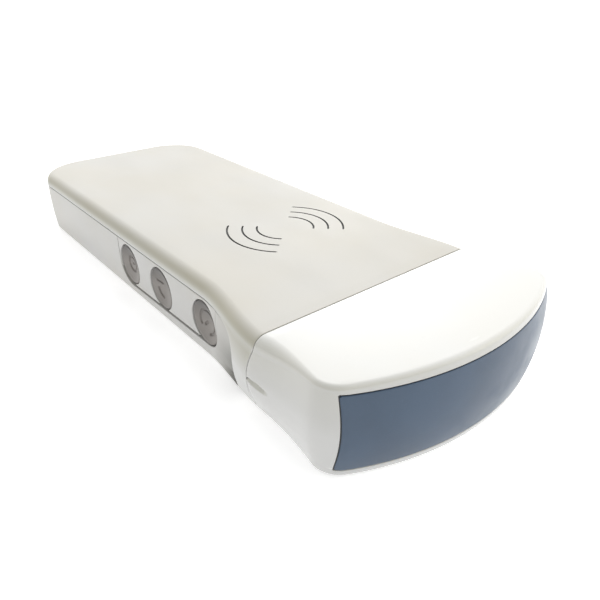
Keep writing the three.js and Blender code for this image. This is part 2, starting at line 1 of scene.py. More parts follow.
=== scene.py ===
"""Looks of a wireless ultrasound scanner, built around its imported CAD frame.

The housing is made again as smooth moulded shells: each one is a skin of points on the scanner's
outer form, given a wall and a rounded rim. Lengths are in millimetres until a mesh is made.
"""
import json
import math

import bpy
import numpy as np
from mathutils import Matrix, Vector
from mathutils.geometry import delaunay_2d_cdt


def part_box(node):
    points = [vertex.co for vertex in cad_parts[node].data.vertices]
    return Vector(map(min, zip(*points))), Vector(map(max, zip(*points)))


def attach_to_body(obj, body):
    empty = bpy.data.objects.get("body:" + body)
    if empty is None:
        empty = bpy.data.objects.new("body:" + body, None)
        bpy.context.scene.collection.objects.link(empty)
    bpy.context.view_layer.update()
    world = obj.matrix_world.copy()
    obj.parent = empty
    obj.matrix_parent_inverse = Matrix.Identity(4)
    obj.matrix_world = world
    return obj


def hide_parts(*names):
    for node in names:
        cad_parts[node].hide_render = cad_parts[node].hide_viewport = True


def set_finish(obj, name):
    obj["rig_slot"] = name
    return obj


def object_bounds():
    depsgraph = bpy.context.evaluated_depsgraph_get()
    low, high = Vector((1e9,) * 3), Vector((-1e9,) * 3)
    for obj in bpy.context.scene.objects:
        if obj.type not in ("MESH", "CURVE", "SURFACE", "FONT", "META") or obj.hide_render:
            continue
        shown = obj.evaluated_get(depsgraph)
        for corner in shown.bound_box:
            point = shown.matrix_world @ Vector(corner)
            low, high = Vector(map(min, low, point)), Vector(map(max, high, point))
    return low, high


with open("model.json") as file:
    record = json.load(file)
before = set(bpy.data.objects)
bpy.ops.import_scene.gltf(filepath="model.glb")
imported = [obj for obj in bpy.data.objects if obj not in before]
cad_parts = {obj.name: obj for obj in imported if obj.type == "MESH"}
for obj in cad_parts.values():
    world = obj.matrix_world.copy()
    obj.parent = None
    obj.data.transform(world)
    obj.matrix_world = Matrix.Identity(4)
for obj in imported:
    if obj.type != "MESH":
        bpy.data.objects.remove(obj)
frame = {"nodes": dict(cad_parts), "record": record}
cad_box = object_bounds()
MM = 0.001


def edges(node):
    """Lowest and highest corner of a CAD node, in millimetres."""
    low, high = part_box(node)
    return np.array(low) / MM, np.array(high) / MM


# ---------- driving dimensions: the overall ones are read from the frame ----------
BOX_LOW, BOX_HIGH = (np.array(corner) / MM for corner in cad_box)
BULGE_HANDLE = 0.25  # how far the grip's sides bow outwards at mid height
BULGE_HEAD = 1.0  # how far the head's sides bow outwards
REAR_Y = BOX_HIGH[1] - BULGE_HANDLE
TIP_Y = BOX_LOW[1] + BULGE_HEAD
SEAM_Y = -49.7
FLARE_Y = -27.4  # from here the grip widens towards the head
COLLAR_Y = -42.2  # the collar in front of the grip starts here

HEAD_HALF = BOX_HIGH[0] - BULGE_HEAD
SEAM_HALF = HEAD_HALF - 0.2
GRIP_HALF = 26.0
REAR_HALF = 27.4
NECK_DIP = 0.5
REAR_CORNER = 13.6
HEAD_CORNER = 5.6
PROBE_RADIUS = 56.0
PROBE_CENTRE_Y = TIP_Y + PROBE_RADIUS
HEAD_CORNER_X = HEAD_HALF - HEAD_CORNER
HEAD_CORNER_Y = PROBE_CENTRE_Y - math.sqrt((PROBE_RADIUS - HEAD_CORNER) ** 2 - HEAD_CORNER_X ** 2)

HANDLE_TOP = edges("top_cover")[1][2]
SEAM_TOP = HANDLE_TOP - 0.4
HEAD_TOP = BOX_HIGH[2]
SEAM_BOTTOM = 1.8
SPLIT_Z = 14.5  # the parting line between lid and tray
TOP_ROUND = 2.7
FRONT_ROUND = 1.0
BOTTOM_ROUND = 1.5

SEAM_DIP = 0.08  # the top sinks a little towards the seam
DIP_BEHIND, DIP_AHEAD = 3.0, 2.5  # over these lengths
SEAM_BOW = 1.3  # the seam bows rearwards on the flanks
BOW_TOP, BOW_HEIGHT, BOW_REACH = 15.2, 13.4, 7.0
SCOOP_LENGTH, SCOOP_DEPTH, SCOOP_FOOT, SCOOP_RISE = 13.0, 1.25, 7.0, 6.5
SCOOP_TAPER = 0.8  # how much shallower the finger scoop is at its top
CRESCENT = ((-27.5, SPLIT_Z), (-37.5, SPLIT_Z + 0.1), (COLLAR_Y + 0.1, 14.2), (COLLAR_Y, 9.8))  # (y, z)
NOTCH_LENGTH, NOTCH_DEPTH, NOTCH_TIP = 5.1, 1.0, 0.3
NOTCH_CREST, NOTCH_FALL, NOTCH_ARCH = 9.1, 0.45, 0.4
NOTCH_LOW, NOTCH_TALL = 0.5, 0.9  # the notch's height at its ends, and what its middle adds

WALL = 1.35
HEAD_WALL = 1.05
LENS_WALL = 1.6
PANEL_WALL = 1.3
JOINT_GAP = 0.16  # visible width of the joints between housing pieces
LIP = 0.14  # radius of every moulded rim
EDGE = JOINT_GAP / 2 + LIP  # a skin stops this far from the middle of a joint
WELD = 2e-4  # points this close are one
MITRE = 0.6  # keeps the rim from reaching too far at a sharp corner

KEY_Z = 8.7
KEY_Y = {"rear": 7.8, "middle": -8.6, "front": -28.0}
KEY_RADIUS = 5.0
KEY_HOLE = 5.15
PANEL_RADIUS = 5.6
PANEL_FOOT, PANEL_CLIMB, PANEL_FOOT_Y = 2.62, 0.026, 11.0
PANEL_SPACING = 0.9  # between the points inside the keypad's face
PANEL_GROOVE = 0.72  # width of the shadow groove under the keypad

LENS_HALF, LENS_LOW, LENS_HIGH = 27.2, 2.0, 17.1
WINDOW_CORNER = 0.5
WINDOW_BEND, WINDOW_BEND_REACH = (-0.8, 3.6, -2.96), 4.0  # the curve of the window's side
BOND = 0.14  # width of the adhesive line round the lens
BOND_SUNK = 0.16

TOP_COLUMNS = 28  # across the top and the underside
CORNER_STEPS, ROLL_STEPS, FOOT_STEPS = 16, 8, 6  # round the rear corner, the top edge and the bottom edge
SHARP_ANGLE = 42


# ---------- the outer form ----------
def smooth(t):
    t = np.clip(t, 0, 1)
    return t * t * (3 - 2 * t)


def flare(y):
    return smooth((FLARE_Y - y) / (FLARE_Y - SEAM_Y))


def half_width(y):
    y = np.asarray(y, float)
    grip = GRIP_HALF + (REAR_HALF - GRIP_HALF) * (y - FLARE_Y) / (REAR_Y - FLARE_Y)
    neck = GRIP_HALF + (SEAM_HALF - GRIP_HALF) * flare(y)
    t = np.clip((SEAM_Y - y) / (SEAM_Y - HEAD_CORNER_Y), 0, 1)
    head = SEAM_HALF + (HEAD_HALF - SEAM_HALF) * t - NECK_DIP * np.sin(np.pi * t)
    return np.where(y >= FLARE_Y, grip, np.where(y >= SEAM_Y, neck, head))


def top_height(y):
    y = np.asarray(y, float)
    handle = HANDLE_TOP + (SEAM_TOP - HANDLE_TOP) * flare(y)
    head = SEAM_TOP + (HEAD_TOP - SEAM_TOP) * (SEAM_Y - y) / (SEAM_Y - TIP_Y)
    dip_behind = SEAM_DIP * smooth((SEAM_Y + DIP_BEHIND - y) / DIP_BEHIND)
    dip_ahead = SEAM_DIP * smooth((y - SEAM_Y + DIP_AHEAD) / DIP_AHEAD)
    return np.where(y >= SEAM_Y, handle - dip_behind, head - dip_ahead)


def bottom_height(y):
    y = np.asarray(y, float)
    head = SEAM_BOTTOM * np.clip(1 - (SEAM_Y - y) / (SEAM_Y - HEAD_CORNER_Y), 0, 1)
    return np.where(y >= SEAM_Y, SEAM_BOTTOM * flare(y), head)


def top_round(y):
    """Radius of the rolled edge round the top, which tightens towards the head's corners."""
    return TOP_ROUND + (FRONT_ROUND - TOP_ROUND) * smooth((SEAM_Y - y) / (SEAM_Y - HEAD_CORNER_Y + 2))


def bow(y, z):
    """How far the side wall stands out of the plan outline at a height."""
    high = top_height(y) - top_round(y)
    low = bottom_height(y) + BOTTOM_ROUND
    s = np.clip((high - z) / (high - low), 0, 1)
    bulge = BULGE_HANDLE + (BULGE_HEAD - BULGE_HANDLE) * flare(y)
    return bulge * 4 * s * (1 - s)


def seam_shift(y, z):
    """The seam and its neighbourhood lean rearwards at mid height on the flanks."""
    near = 1 - smooth(abs(y - SEAM_Y) / BOW_REACH)
    return SEAM_BOW * np.sin(np.pi * np.clip((BOW_TOP - z) / BOW_HEIGHT, 0, 1)) * near


def crescent_height(y):
    """Height of the parting line: level along the grip, then dropping along the collar's edge."""
    t = np.linspace(0, 1, 60)
    weights = [(1 - t) ** 3, 3 * t * (1 - t) ** 2, 3 * t * t * (1 - t), t ** 3]
    ys = sum(w * point[0] for w, point in zip(weights, CRESCENT))
    zs = sum(w * point[1] for w, point in zip(weights, CRESCENT))
    return np.interp(-np.asarray(y, float), -ys, zs)


def scoop(y, z):
    """Depth of the finger scoop behind the collar's edge."""
    behind = np.clip((y - COLLAR_Y) / SCOOP_LENGTH, 0, 1)
    depth = SCOOP_DEPTH - SCOOP_TAPER * smooth((z - SCOOP_FOOT) / SCOOP_RISE)
    return depth * (1 - behind) ** 2


def index_notch(y, z):
    """Depth of the pointed orientation notch in the left cheek: undercut above, sloping below."""
    run = np.clip((SEAM_Y - y) / NOTCH_LENGTH, 0, 1)
    arch = np.sin(math.pi * run)
    crest = NOTCH_CREST - NOTCH_FALL * run + NOTCH_ARCH * arch
    share = 1 - (crest - z) / (NOTCH_LOW + NOTCH_TALL * arch)
    inside = (z <= crest) & (share >= 0) & (run < 1)
    return np.where(inside, NOTCH_DEPTH * share * smooth((1 - run) / NOTCH_TIP), 0)


def keypad_edge(y):
    """Height of the keypad's lower edge, which climbs a little towards the head."""
    return PANEL_FOOT + PANEL_CLIMB * (PANEL_FOOT_Y - np.asarray(y, float))


# ---------- stations round the plan outline ----------
class Station:
    """A place on the left half of the plan outline: a point, its outward direction and its y."""

    flank = False

    def __init__(self, point, outward):
        self.point = np.array(point, float)
        self.outward = np.array(outward, float)
        self.y = float(point[1])

    def place(self, inset, z):
        """The left-hand point at an inset from the outline, at a height."""
        plan = self.point - self.outward * inset
        return np.array([plan[0], plan[1], z])

    def plan_y(self, inset):
        return self.point[1] - self.outward[1] * inset


class FlankStation(Station):
    """A place on the straight flanks, where the seam's lean moves the points with their height."""

    flank = True

    def __init__(self, y):
        super().__init__((-float(half_width(y)), y), (-1, 0))

    def place(self, inset, z):
        y = self.y + seam_shift(self.y, z)
        return np.array([-float(half_width(y)) + inset, y, z])


REAR_REACH = float(half_width(REAR_Y - REAR_CORNER)) - REAR_CORNER  # half the rear edge's straight part


def rear_stations():
    """From the start of the left rear corner round to the flank."""
    centre = np.array([-REAR_REACH, REAR_Y - REAR_CORNER])
    stations = []
    for angle in np.linspace(0, np.pi / 2, CORNER_STEPS + 1)[:-1]:
        outward = (-math.sin(angle), math.cos(angle))
        stations.append(Station(centre + REAR_CORNER * np.array(outward), outward))
    return stations


FACE_TURN = math.atan2(HEAD_CORNER_X, PROBE_CENTRE_Y - HEAD_CORNER_Y)
CORNER_TURN = math.pi / 2 - FACE_TURN
CORNER_RUN = HEAD_CORNER * CORNER_TURN  # length of the corner's arc
FACE_RUN = CORNER_RUN + PROBE_RADIUS * FACE_TURN  # from the corner's start to the tip


def front_at(run):
    """The station at a distance along the head's left corner and probe face."""
    if run < CORNER_RUN:
        angle = run / HEAD_CORNER
        outward = np.array([-math.cos(angle), -math.sin(angle)])
        return Station(np.array([-HEAD_CORNER_X, HEAD_CORNER_Y]) + HEAD_CORNER * outward, outward)
    angle = FACE_TURN - (run - CORNER_RUN) / PROBE_RADIUS
    outward = np.array([-math.sin(angle), -math.cos(angle)])
    return Station(np.array([0, PROBE_CENTRE_Y]) + PROBE_RADIUS * outward, outward)


def window_run(grow):
    """Where the side of the lens window lies along the corner, moved outwards by `grow`."""
    angle = math.acos((LENS_HALF - HEAD_CORNER_X) / HEAD_CORNER)
    return angle * HEAD_CORNER - grow


def side_curve(run, z):
    """How far the window's side lies inwards of its straight line at a height, fading away from it."""
    up = (z - LENS_LOW) / (LENS_HIGH - LENS_LOW)
    near = 1 - smooth(abs(run - window_run(0)) / WINDOW_BEND_REACH)
    start, slope, curve = WINDOW_BEND
    return near * (start + slope * up + curve * up * up)


FINE_STEPS = (0, 0.15, 0.3, 0.45, 0.6, 0.75, 0.9, 1.05, 1.4)  # rows of points beside the window's border


def front_runs(start):
    """Distances along the front from `start` to the tip, closer together near the window's side."""
    near = start + np.array([*FINE_STEPS, 1.9, 2.4, 2.9])
    return [*near, *np.linspace(start + 3.6, FACE_RUN, 30)]


def window_heights(low, high):
    """Heights from the top of the window to its foot, closer together near its corners."""
    near = np.array(FINE_STEPS)
    middle = np.linspace(high - 1.9, low + 1.9, 18)
    return np.concatenate([high - near, middle, (low + near)[::-1]])


# ---------- outlines, skins and solids ----------
def circle(centre, radius, count):
    angles = np.arange(count) / count * 2 * math.pi
    return [(centre[0] + radius * math.cos(a), centre[1] + radius * math.sin(a)) for a in angles]


def rounded_plate(low, high, radius, count=8):
    """Points of a rectangle with round corners, in any plane."""
    centres = [(high[0] - radius, high[1] - radius), (low[0] + radius, high[1] - radius),
               (low[0] + radius, low[1] + radius), (high[0] - radius, low[1] + radius)]
    points = []
    for quarter, (cx, cy) in enumerate(centres):
        for k in range(count + 1):
            a = (quarter + k / count) * math.pi / 2
            points.append((cx + radius * math.cos(a), cy + radius * math.sin(a)))
    return points


class Skin:
    """An open surface collected from grids of points. Points that coincide become one."""

    def __init__(self):
        self.points = []
        self.faces = []

    def grid(self, points, keep=None, flip=False):
        points = np.asarray(points, float)
        rows, columns = points.shape[:2]
        base = len(self.points)
        self.points.extend(points.reshape(-1, 3))
        for i in range(rows - 1):
            for j in range(columns - 1):
                if keep is None or keep(i, j):
                    a = base + i * columns + j
                    face = (a, a + 1, a + columns + 1, a + columns)
                    self.faces.append(face[::-1] if flip else face)

    def triangles(self, points, triangles):
        base = len(self.points)
        self.points.extend(points)
        self.faces.extend(tuple(base + k for k in triangle) for triangle in triangles)

    def welded(self):
        """The points that faces use, each once, and the faces between them."""
        points = np.array(self.points)
        keys = np.round(points / WELD).astype(np.int64)
        _, first, inverse = np.unique(keys, axis=0, return_index=True, return_inverse=True)
        inverse = inverse.reshape(-1)
        rings = [list(dict.fromkeys(int(inverse[v]) for v in face)) for face in self.faces]
        rings = [ring for ring in rings if len(ring) > 2]
        used = sorted({k for ring in rings for k in ring})
        renumber = {k: i for i, k in enumerate(used)}
        return points[first][used], [tuple(renumber[k] for k in ring) for ring in rings]


def closed_grid(rows, flip=False):
    """A closed solid from one grid of rings, whose first and last rings are each a single point."""
    skin = Skin()
    skin.grid(np.array(rows), flip=flip)
    return skin.welded()


def point_normals(points, faces):
    normals = np.zeros_like(points)
    for face in faces:
        corners = points[list(face)]
        normal = np.cross(corners[1] - corners[0], corners[2] - corners[0])
        if len(face) == 4:
            normal = np.cross(corners[2] - corners[0], corners[3] - corners[1])
        for k in face:
            normals[k] += normal
    return normals / np.maximum(np.linalg.norm(normals, axis=1, keepdims=True), 1e-12)


def rim_directions(points, normals, border):
    """The points of an open border, in order, and the direction that leads outwards from each."""
    outward = {}
    for a, b in border:
        along = points[b] - points[a]
        length = np.linalg.norm(along)
        for k in (a, b):
            side = np.cross(along / length, normals[k])
            outward.setdefault(k, []).append(side / max(np.linalg.norm(side), 1e-9))
    rim = sorted(outward)
    sides = []
    for k in rim:
        total = sum(outward[k])
        size = np.linalg.norm(total)
        spread = size / len(outward[k])
        sides.append(total / max(size, 1e-9) / max(spread, MITRE))
    return rim, np.array(sides).reshape(-1, 3)


def solid(skin, wall=WALL, lip=LIP, steps=3):
    """Closes a skin into a shell: an inner surface, and rims rounded over `lip`."""
    points, faces = skin.welded()
    normals = point_normals(points, faces)
    directed = {(a, b) for face in faces for a, b in zip(face, face[1:] + face[:1])}
    border = sorted((a, b) for a, b in directed if (b, a) not in directed)
    rim, sides = rim_directions(points, normals, border)
    layers = [points]
    for step in range(1, steps + 1):
        angle = step / steps * math.pi / 2
        out = lip * math.sin(angle) * sides
        down = lip * (1 - math.cos(angle)) * normals[rim]
        layers.append(points[rim] + out - down)
    inner = points - normals * wall
    inner[rim] += lip * sides
    layers.append(inner)

    count = len(points)
    place_in_rim = {k: i for i, k in enumerate(rim)}

    def number(layer, k):
        """The index of border point k in one of the rim's layers."""
        return k if layer == 0 else count + (layer - 1) * len(rim) + place_in_rim[k]

    inner_start = count + steps * len(rim)
    all_faces = list(faces)
    for a, b in border:
        for layer in range(steps):
            all_faces.append((number(layer, b), number(layer, a), number(layer + 1, a), number(layer + 1, b)))
        all_faces.append((number(steps, b), number(steps, a), inner_start + a, inner_start + b))
    all_faces.extend(tuple(inner_start + k for k in face[::-1]) for face in faces)
    return np.concatenate(layers), all_faces


def make_object(name, points, faces, sharp=SHARP_ANGLE):
    mesh = bpy.data.meshes.new(name)
    mesh.from_pydata((np.asarray(points) * MM).tolist(), [], faces)
    mesh.validate()
    finish_shading(mesh, sharp)
    piece = bpy.data.objects.new(name, mesh)
    bpy.context.scene.collection.objects.link(piece)
    return piece


def joined(name, *solids):
    """One object from several closed solids."""
    points, faces = [], []
    for part_points, part_faces in solids:
        base = len(points)
        points.extend(np.asarray(part_points).tolist())
        faces.extend(tuple(base + k for k in face) for face in part_faces)
    return make_object(name, points, faces)


def finish_shading(mesh, sharp):
    mesh.polygons.foreach_set("use_smooth", [True] * len(mesh.polygons))
    mesh.set_sharp_from_angle(angle=math.radians(sharp))
    mesh.update()


def baked(piece):
    """Turns a piece's modifiers into its mesh."""
    bpy.context.view_layer.update()
    graph = bpy.context.evaluated_depsgraph_get()
    mesh = bpy.data.meshes.new_from_object(piece.evaluated_get(graph))
    piece.modifiers.clear()
    piece.data = mesh
    return piece


def cut(piece, cutters, sharp=SHARP_ANGLE):
    """Cuts each closed cutter out of a piece. New faces take the cutter's material."""
    for cutter in cutters:
        tool = piece.modifiers.new("cut", "BOOLEAN")
        tool.operation = "DIFFERENCE"
        tool.solver = "EXACT"
        tool.object = cutter
        if cutter.data.materials:
            tool.material_mode = "TRANSFER"
        baked(piece)
        bpy.data.objects.remove(cutter)
    finish_shading(piece.data, sharp)
    return piece


def level(piece):
    """Keeps large flat faces flat-shaded beside their small rounded rims."""
    tool = piece.modifiers.new("level", "WEIGHTED_NORMAL")
    tool.keep_sharp = True
    tool.weight = 60
    return baked(piece)


# ---------- housing shells ----------
def mirrored(points):
    return points * np.array([-1, 1, 1])


def placed(stations, section):
    """A row of points for each station, at the insets and heights that its section lists."""
    return np.array([[station.place(inset, z) for inset, z in section(station)] for station in stations])


def deck(stations, inset_of, height_of):
    """Level rows across the scanner between each station and its mirror image."""
    rows = []
    for station in stations:
        inset = inset_of(station)
        side = station.place(inset, 0)[0]
        y = station.plan_y(inset)
        z = float(height_of(y))
        rows.append([(x, y, z) for x in np.linspace(side, -side, TOP_COLUMNS + 1)])
    return np.array(rows)


def rear_edge(section):
    """The straight part of the rear edge, with the deck's columns."""
    xs = np.linspace(-REAR_REACH, REAR_REACH, TOP_COLUMNS + 1)
    return placed([Station((x, REAR_Y), (0, 1)) for x in xs], section)


def rounded_edge(station, radius, angles, height_of, rise):
    """(inset, z) places round the edge of a deck: the walls rise or fall from it."""
    points = []
    for angle in angles:
        inset = radius * (1 - math.sin(angle))
        deck_height = float(height_of(station.plan_y(inset)))
        points.append((inset, deck_height + rise * radius * (1 - math.cos(angle))))
    return points


def top_arc(station):
    angles = np.linspace(0, math.pi / 2, ROLL_STEPS + 1)
    return rounded_edge(station, float(top_round(station.y)), angles, top_height, -1)


def bottom_arc(station):
    angles = np.linspace(math.pi / 2, 0, FOOT_STEPS + 1)
    return rounded_edge(station, BOTTOM_ROUND, angles, bottom_height, 1)


def wall_points(station, heights, dent=None):
    """(inset, z) places down the bowed side wall, sunk by `dent` where there is one."""
    result = []
    for z in heights:
        inset = -float(bow(station.y, z))
        if dent is not None:
            inset += float(dent(station.y, z))
        result.append((inset, z))
    return result


def top_inset(station):
    return float(top_round(station.y))


GRIP_ROWS = [60, 55, 50, 44, 38, 32, 26, 20]  # stations of the straight grip behind the keypad


def top_cover():
    """The lid: its top, rolled edge and short wall, and the collar that comes down both sides."""
    neck = [14, 8, 2, -4, -10, -16, -22, -26, *np.linspace(-28, COLLAR_Y + 0.3, 26)]
    collar = np.linspace(COLLAR_Y - EDGE, SEAM_Y + EDGE, 12)
    stations = rear_stations() + [FlankStation(y) for y in [REAR_Y - REAR_CORNER, *GRIP_ROWS, *neck, *collar]]
    low_at_collar = float(crescent_height(COLLAR_Y)) + EDGE
    wall_rows = 6

    def section(station):
        arc = top_arc(station)
        foot = bottom_arc(station)
        low = float(crescent_height(station.y)) + EDGE if station.flank else SPLIT_Z + EDGE
        low = max(low, low_at_collar)
        wall = np.linspace(arc[-1][1], low, wall_rows + 1)[1:]
        drop = np.linspace(low, foot[0][1], 11)[1:-1]
        return arc + wall_points(station, [*wall, *drop]) + foot

    band = len(top_arc(stations[0])) + wall_rows - 1
    in_collar = [station.flank and station.y <= COLLAR_Y for station in stations]

    def shown(i, j):
        return j < band or (in_collar[i] and in_collar[i + 1])

    skin = Skin()
    skin.grid(deck(stations, top_inset, top_height), flip=True)
    left = placed(stations, section)
    skin.grid(left, shown)
    skin.grid(mirrored(left), shown, flip=True)
    skin.grid(rear_edge(section), lambda i, j: j < band, flip=True)
    return solid(skin)


def round_corner(across, height, column, row, side, rise, radius):
    """Presses a square corner of a grid, and the points inside it, onto a quarter circle.

    `across` and `height` are the grid's own coordinates, and (side, rise) point into the opening.
    """
    start = across[column, row]
    border = height[:, row].copy()
    u_all = 1 - side * (across - start) / radius
    v_all = 1 - rise * (height - border[:, None]) / radius
    inside_corner = (u_all > 0) & (u_all <= 1 + 1e-9) & (v_all > 0) & (v_all <= 1 + 1e-9)
    for i, j in zip(*np.nonzero(inside_corner)):
        u, v = u_all[i, j], v_all[i, j]
        angle = v / u * math.pi / 4 if u >= v else math.pi / 2 - u / v * math.pi / 4
        across[i, j] = start + side * radius * (1 - max(u, v) * math.cos(angle))
        height[i, j] = border[i] + rise * radius * (1 - max(u, v) * math.sin(angle))


TRAY_REAR = KEY_Y["rear"] + PANEL_RADIUS + EDGE  # the keypad's opening in the left flank
TRAY_FRONT = KEY_Y["front"] - PANEL_RADIUS - EDGE
TRAY_WALL_ROWS, TRAY_FOOT_ROWS = 19, 3  # rows above and below the opening's lower edge


def tray_rows():
    """Stations of the flank, closer together at the opening's round corners and in the finger scoop."""
    rear_zone = np.linspace(TRAY_REAR, TRAY_REAR - PANEL_RADIUS - 0.3, 10)
    middle_zone = np.linspace(TRAY_REAR - 8.5, TRAY_FRONT + 8.5, 9)
    front_zone = np.linspace(TRAY_FRONT + PANEL_RADIUS + 0.3, TRAY_FRONT, 10)
    scoop_zone = np.linspace(TRAY_FRONT - 0.7, COLLAR_Y + EDGE, 15)
    return [REAR_Y - REAR_CORNER, *GRIP_ROWS[:-1], 17.5, *rear_zone, *middle_zone, *front_zone, *scoop_zone]


def tray_section(station, dent=None):
    high = SPLIT_Z - EDGE
    if station.flank:
        high = float(crescent_height(station.y)) - EDGE
    foot = bottom_arc(station)
    edge = max(float(keypad_edge(station.y)), foot[0][1] + 0.5) - EDGE + JOINT_GAP / 2
    upper = np.linspace(high, edge, TRAY_WALL_ROWS)
    lower = np.linspace(edge, foot[0][1], TRAY_FOOT_ROWS)[1:]
    return wall_points(station, [*upper, *lower], dent)[:-1] + foot


def left_tray(stations, sections):
    """The left flank, laid out in (y, z) first, so that its keypad opening can have round corners."""
    rows_of_y = []
    for station, row in zip(stations, sections):
        rows_of_y.append([station.y + (seam_shift(station.y, z) if station.flank else 0) for _, z in row])
    grid_y = np.array(rows_of_y)
    grid_z = np.array([[z for _, z in row] for row in sections])
    ys = np.array([station.y for station in stations])
    first, last = (int(np.argmin(abs(ys - y))) for y in (TRAY_REAR, TRAY_FRONT))
    floor_row = TRAY_WALL_ROWS - 1
    round_corner(grid_y, grid_z, last, floor_row, 1, 1, PANEL_RADIUS)
    round_corner(grid_y, grid_z, first, floor_row, -1, 1, PANEL_RADIUS)
    wall_end = TRAY_WALL_ROWS + TRAY_FOOT_ROWS - 2
    points = np.zeros(grid_y.shape + (3,))
    for i, (station, row) in enumerate(zip(stations, sections)):
        for j, (inset, z) in enumerate(row):
            on_wall = station.flank and j < wall_end
            points[i, j] = flank_surface(grid_y[i, j], grid_z[i, j]) if on_wall else station.place(inset, z)
    return points, lambda i, j: not (first <= i < last and j < floor_row)


def bottom_cover():
    """The tray: flanks with the finger scoops, the underside, and the plate under the collar."""
    stations = rear_stations() + [FlankStation(y) for y in tray_rows()]
    plate = [FlankStation(y) for y in np.linspace(COLLAR_Y - 1.2, SEAM_Y + EDGE, 7)]
    sections = [tray_section(station, scoop) for station in stations]

    def under_inset(station):
        return BOTTOM_ROUND if station.y > COLLAR_Y else BOTTOM_ROUND + 2 * EDGE

    skin = Skin()
    skin.grid(mirrored(placed(stations, lambda station: tray_section(station, scoop))), flip=True)
    skin.grid(*left_tray(stations, sections))
    skin.grid(rear_edge(tray_section), flip=True)
    skin.grid(deck(stations + plate, under_inset, bottom_height))
    return solid(skin)


# ---------- probe head ----------
def front_surface(runs, heights, inset=0.0):
    """Points of the head's front at distances along it and heights, for the left half."""
    points = np.zeros(runs.shape + (3,))
    for i, j in np.ndindex(runs.shape):
        z = heights[i, j]
        station = front_at(runs[i, j] + side_curve(runs[i, j], z))
        points[i, j] = station.place(inset - float(bow(station.y, z)), z)
    return points


HEAD_LOW = LENS_LOW - BOND / 2 - LIP  # the head's opening for the lens
HEAD_HIGH = LENS_HIGH + BOND / 2 + LIP
NOTCH_FIRST, NOTCH_LAST = 7, 27  # rows of the head's wall that carry the orientation notch
NOTCH_ABOVE, NOTCH_BELOW = 9.3 + 0.25, 7.2


def head_wall(station):
    """Heights down the head's wall: on the flank, more of them round the orientation notch."""
    top = top_arc(station)[-1][1]
    foot = bottom_arc(station)[0][1]
    low = max(HEAD_LOW, foot + 0.05)
    high = min(HEAD_HIGH, top - 0.05)
    share = (window_heights(HEAD_LOW, HEAD_HIGH) - HEAD_LOW) / (HEAD_HIGH - HEAD_LOW)
    plain = low + (high - low) * share
    if not station.flank:
        return plain
    dense = np.concatenate([
        np.linspace(plain[0], NOTCH_ABOVE, NOTCH_FIRST + 1)[:-1],
        np.linspace(NOTCH_ABOVE, NOTCH_BELOW, NOTCH_LAST - NOTCH_FIRST + 1),
        np.linspace(NOTCH_BELOW, plain[-1], len(plain) - NOTCH_LAST)[1:]])
    fade = smooth((SEAM_Y - station.y - 6.5) / 8)
    return dense * (1 - fade) + plain * fade


def head_section(station, dent=None):
    return top_arc(station) + wall_points(station, head_wall(station), dent) + bottom_arc(station)


def head_shell():
    """The probe head, open behind and at the lens window."""
    notched = np.linspace(SEAM_Y - EDGE, SEAM_Y - 6.5, 26)
    cheek = [*notched, *np.linspace(SEAM_Y - 7.2, HEAD_CORNER_Y, 12)[:-1]]
    side = window_run(BOND / 2 + LIP)
    corner = [*np.linspace(0, side, 6)[:-1]]
    runs = corner + front_runs(side)
    stations = [FlankStation(y) for y in cheek] + [front_at(run) for run in runs]

    # The wall from the corner round to the tip, with the window's own corners rounded.
    front = stations[len(cheek):]
    height = np.array([head_wall(station) for station in front])
    across = np.repeat(np.array(runs)[:, None], height.shape[1], 1)
    round_window(across, height, len(corner), WINDOW_CORNER)
    wall_start = len(top_arc(stations[0]))
    wall_end = wall_start + height.shape[1]
    left = placed(stations, lambda station: head_section(station, index_notch))
    right = placed(stations, head_section)
    for grid in (left, right):
        grid[len(cheek):, wall_start:wall_end] = front_surface(across, height)
    window_start = len(cheek) + len(corner)

    def shown(i, j):
        return not (i >= window_start and wall_start <= j < wall_end - 1)

    skin = Skin()
    skin.grid(left, shown)
    skin.grid(mirrored(right), shown, flip=True)
    skin.grid(deck(stations, top_inset, top_height), flip=True)
    skin.grid(deck(stations, lambda station: BOTTOM_ROUND, bottom_height))
    return solid(skin, wall=HEAD_WALL)


def round_window(across, height, column, radius):
    """Rounds the upper and lower corners of the window's side, which lies at a column of the front's grid."""
    round_corner(across, height, column, 0, 1, -1, radius)
    round_corner(across, height, column, height.shape[1] - 1, 1, 1, radius)


def window_frame(grow, radius):
    """The lens window's grid of distances and heights, grown by `grow`."""
    runs = np.array(front_runs(window_run(grow)))
    heights = window_heights(LENS_LOW - grow, LENS_HIGH + grow)
    across = np.repeat(runs[:, None], len(heights), 1)
    height = np.repeat(heights[None, :], len(runs), 0)
    round_window(across, height, 0, radius)
    return across, height


def lens():
    left = front_surface(*window_frame(-BOND / 2 - LIP, 0.4))
    skin = Skin()
    skin.grid(left)
    skin.grid(mirrored(left), flip=True)
    return solid(skin, wall=LENS_WALL)


def lens_bond():
    """The adhesive line between lens and head, a little sunk."""
    lip = 0.03
    frames = (window_frame(BOND / 2 - lip, WINDOW_CORNER), window_frame(-BOND / 2 + lip, 0.45))
    skin = Skin()
    for side in (1, -1):
        loops = []
        for frame_grid in frames:
            grid = front_surface(*frame_grid, BOND_SUNK)
            loops.append(np.concatenate([grid[::-1, 0], grid[0, 1:-1], grid[:, -1]]) * (side, 1, 1))
        skin.grid(np.array(loops), flip=side < 0)
    return solid(skin, wall=0.8, lip=lip, steps=1)


def section_loop(y, depth):
    """The closed cross-section of the outer form at y, moved inwards by `depth`."""
    high, low = float(top_height(y)) - depth, float(bottom_height(y)) + depth
    half = float(half_width(y)) - depth
    loop = rounded_plate((-half, low), (half, high), TONGUE_CORNER, 6)
    return np.array([(x, y, z) for x, z in [*loop, loop[0]]])


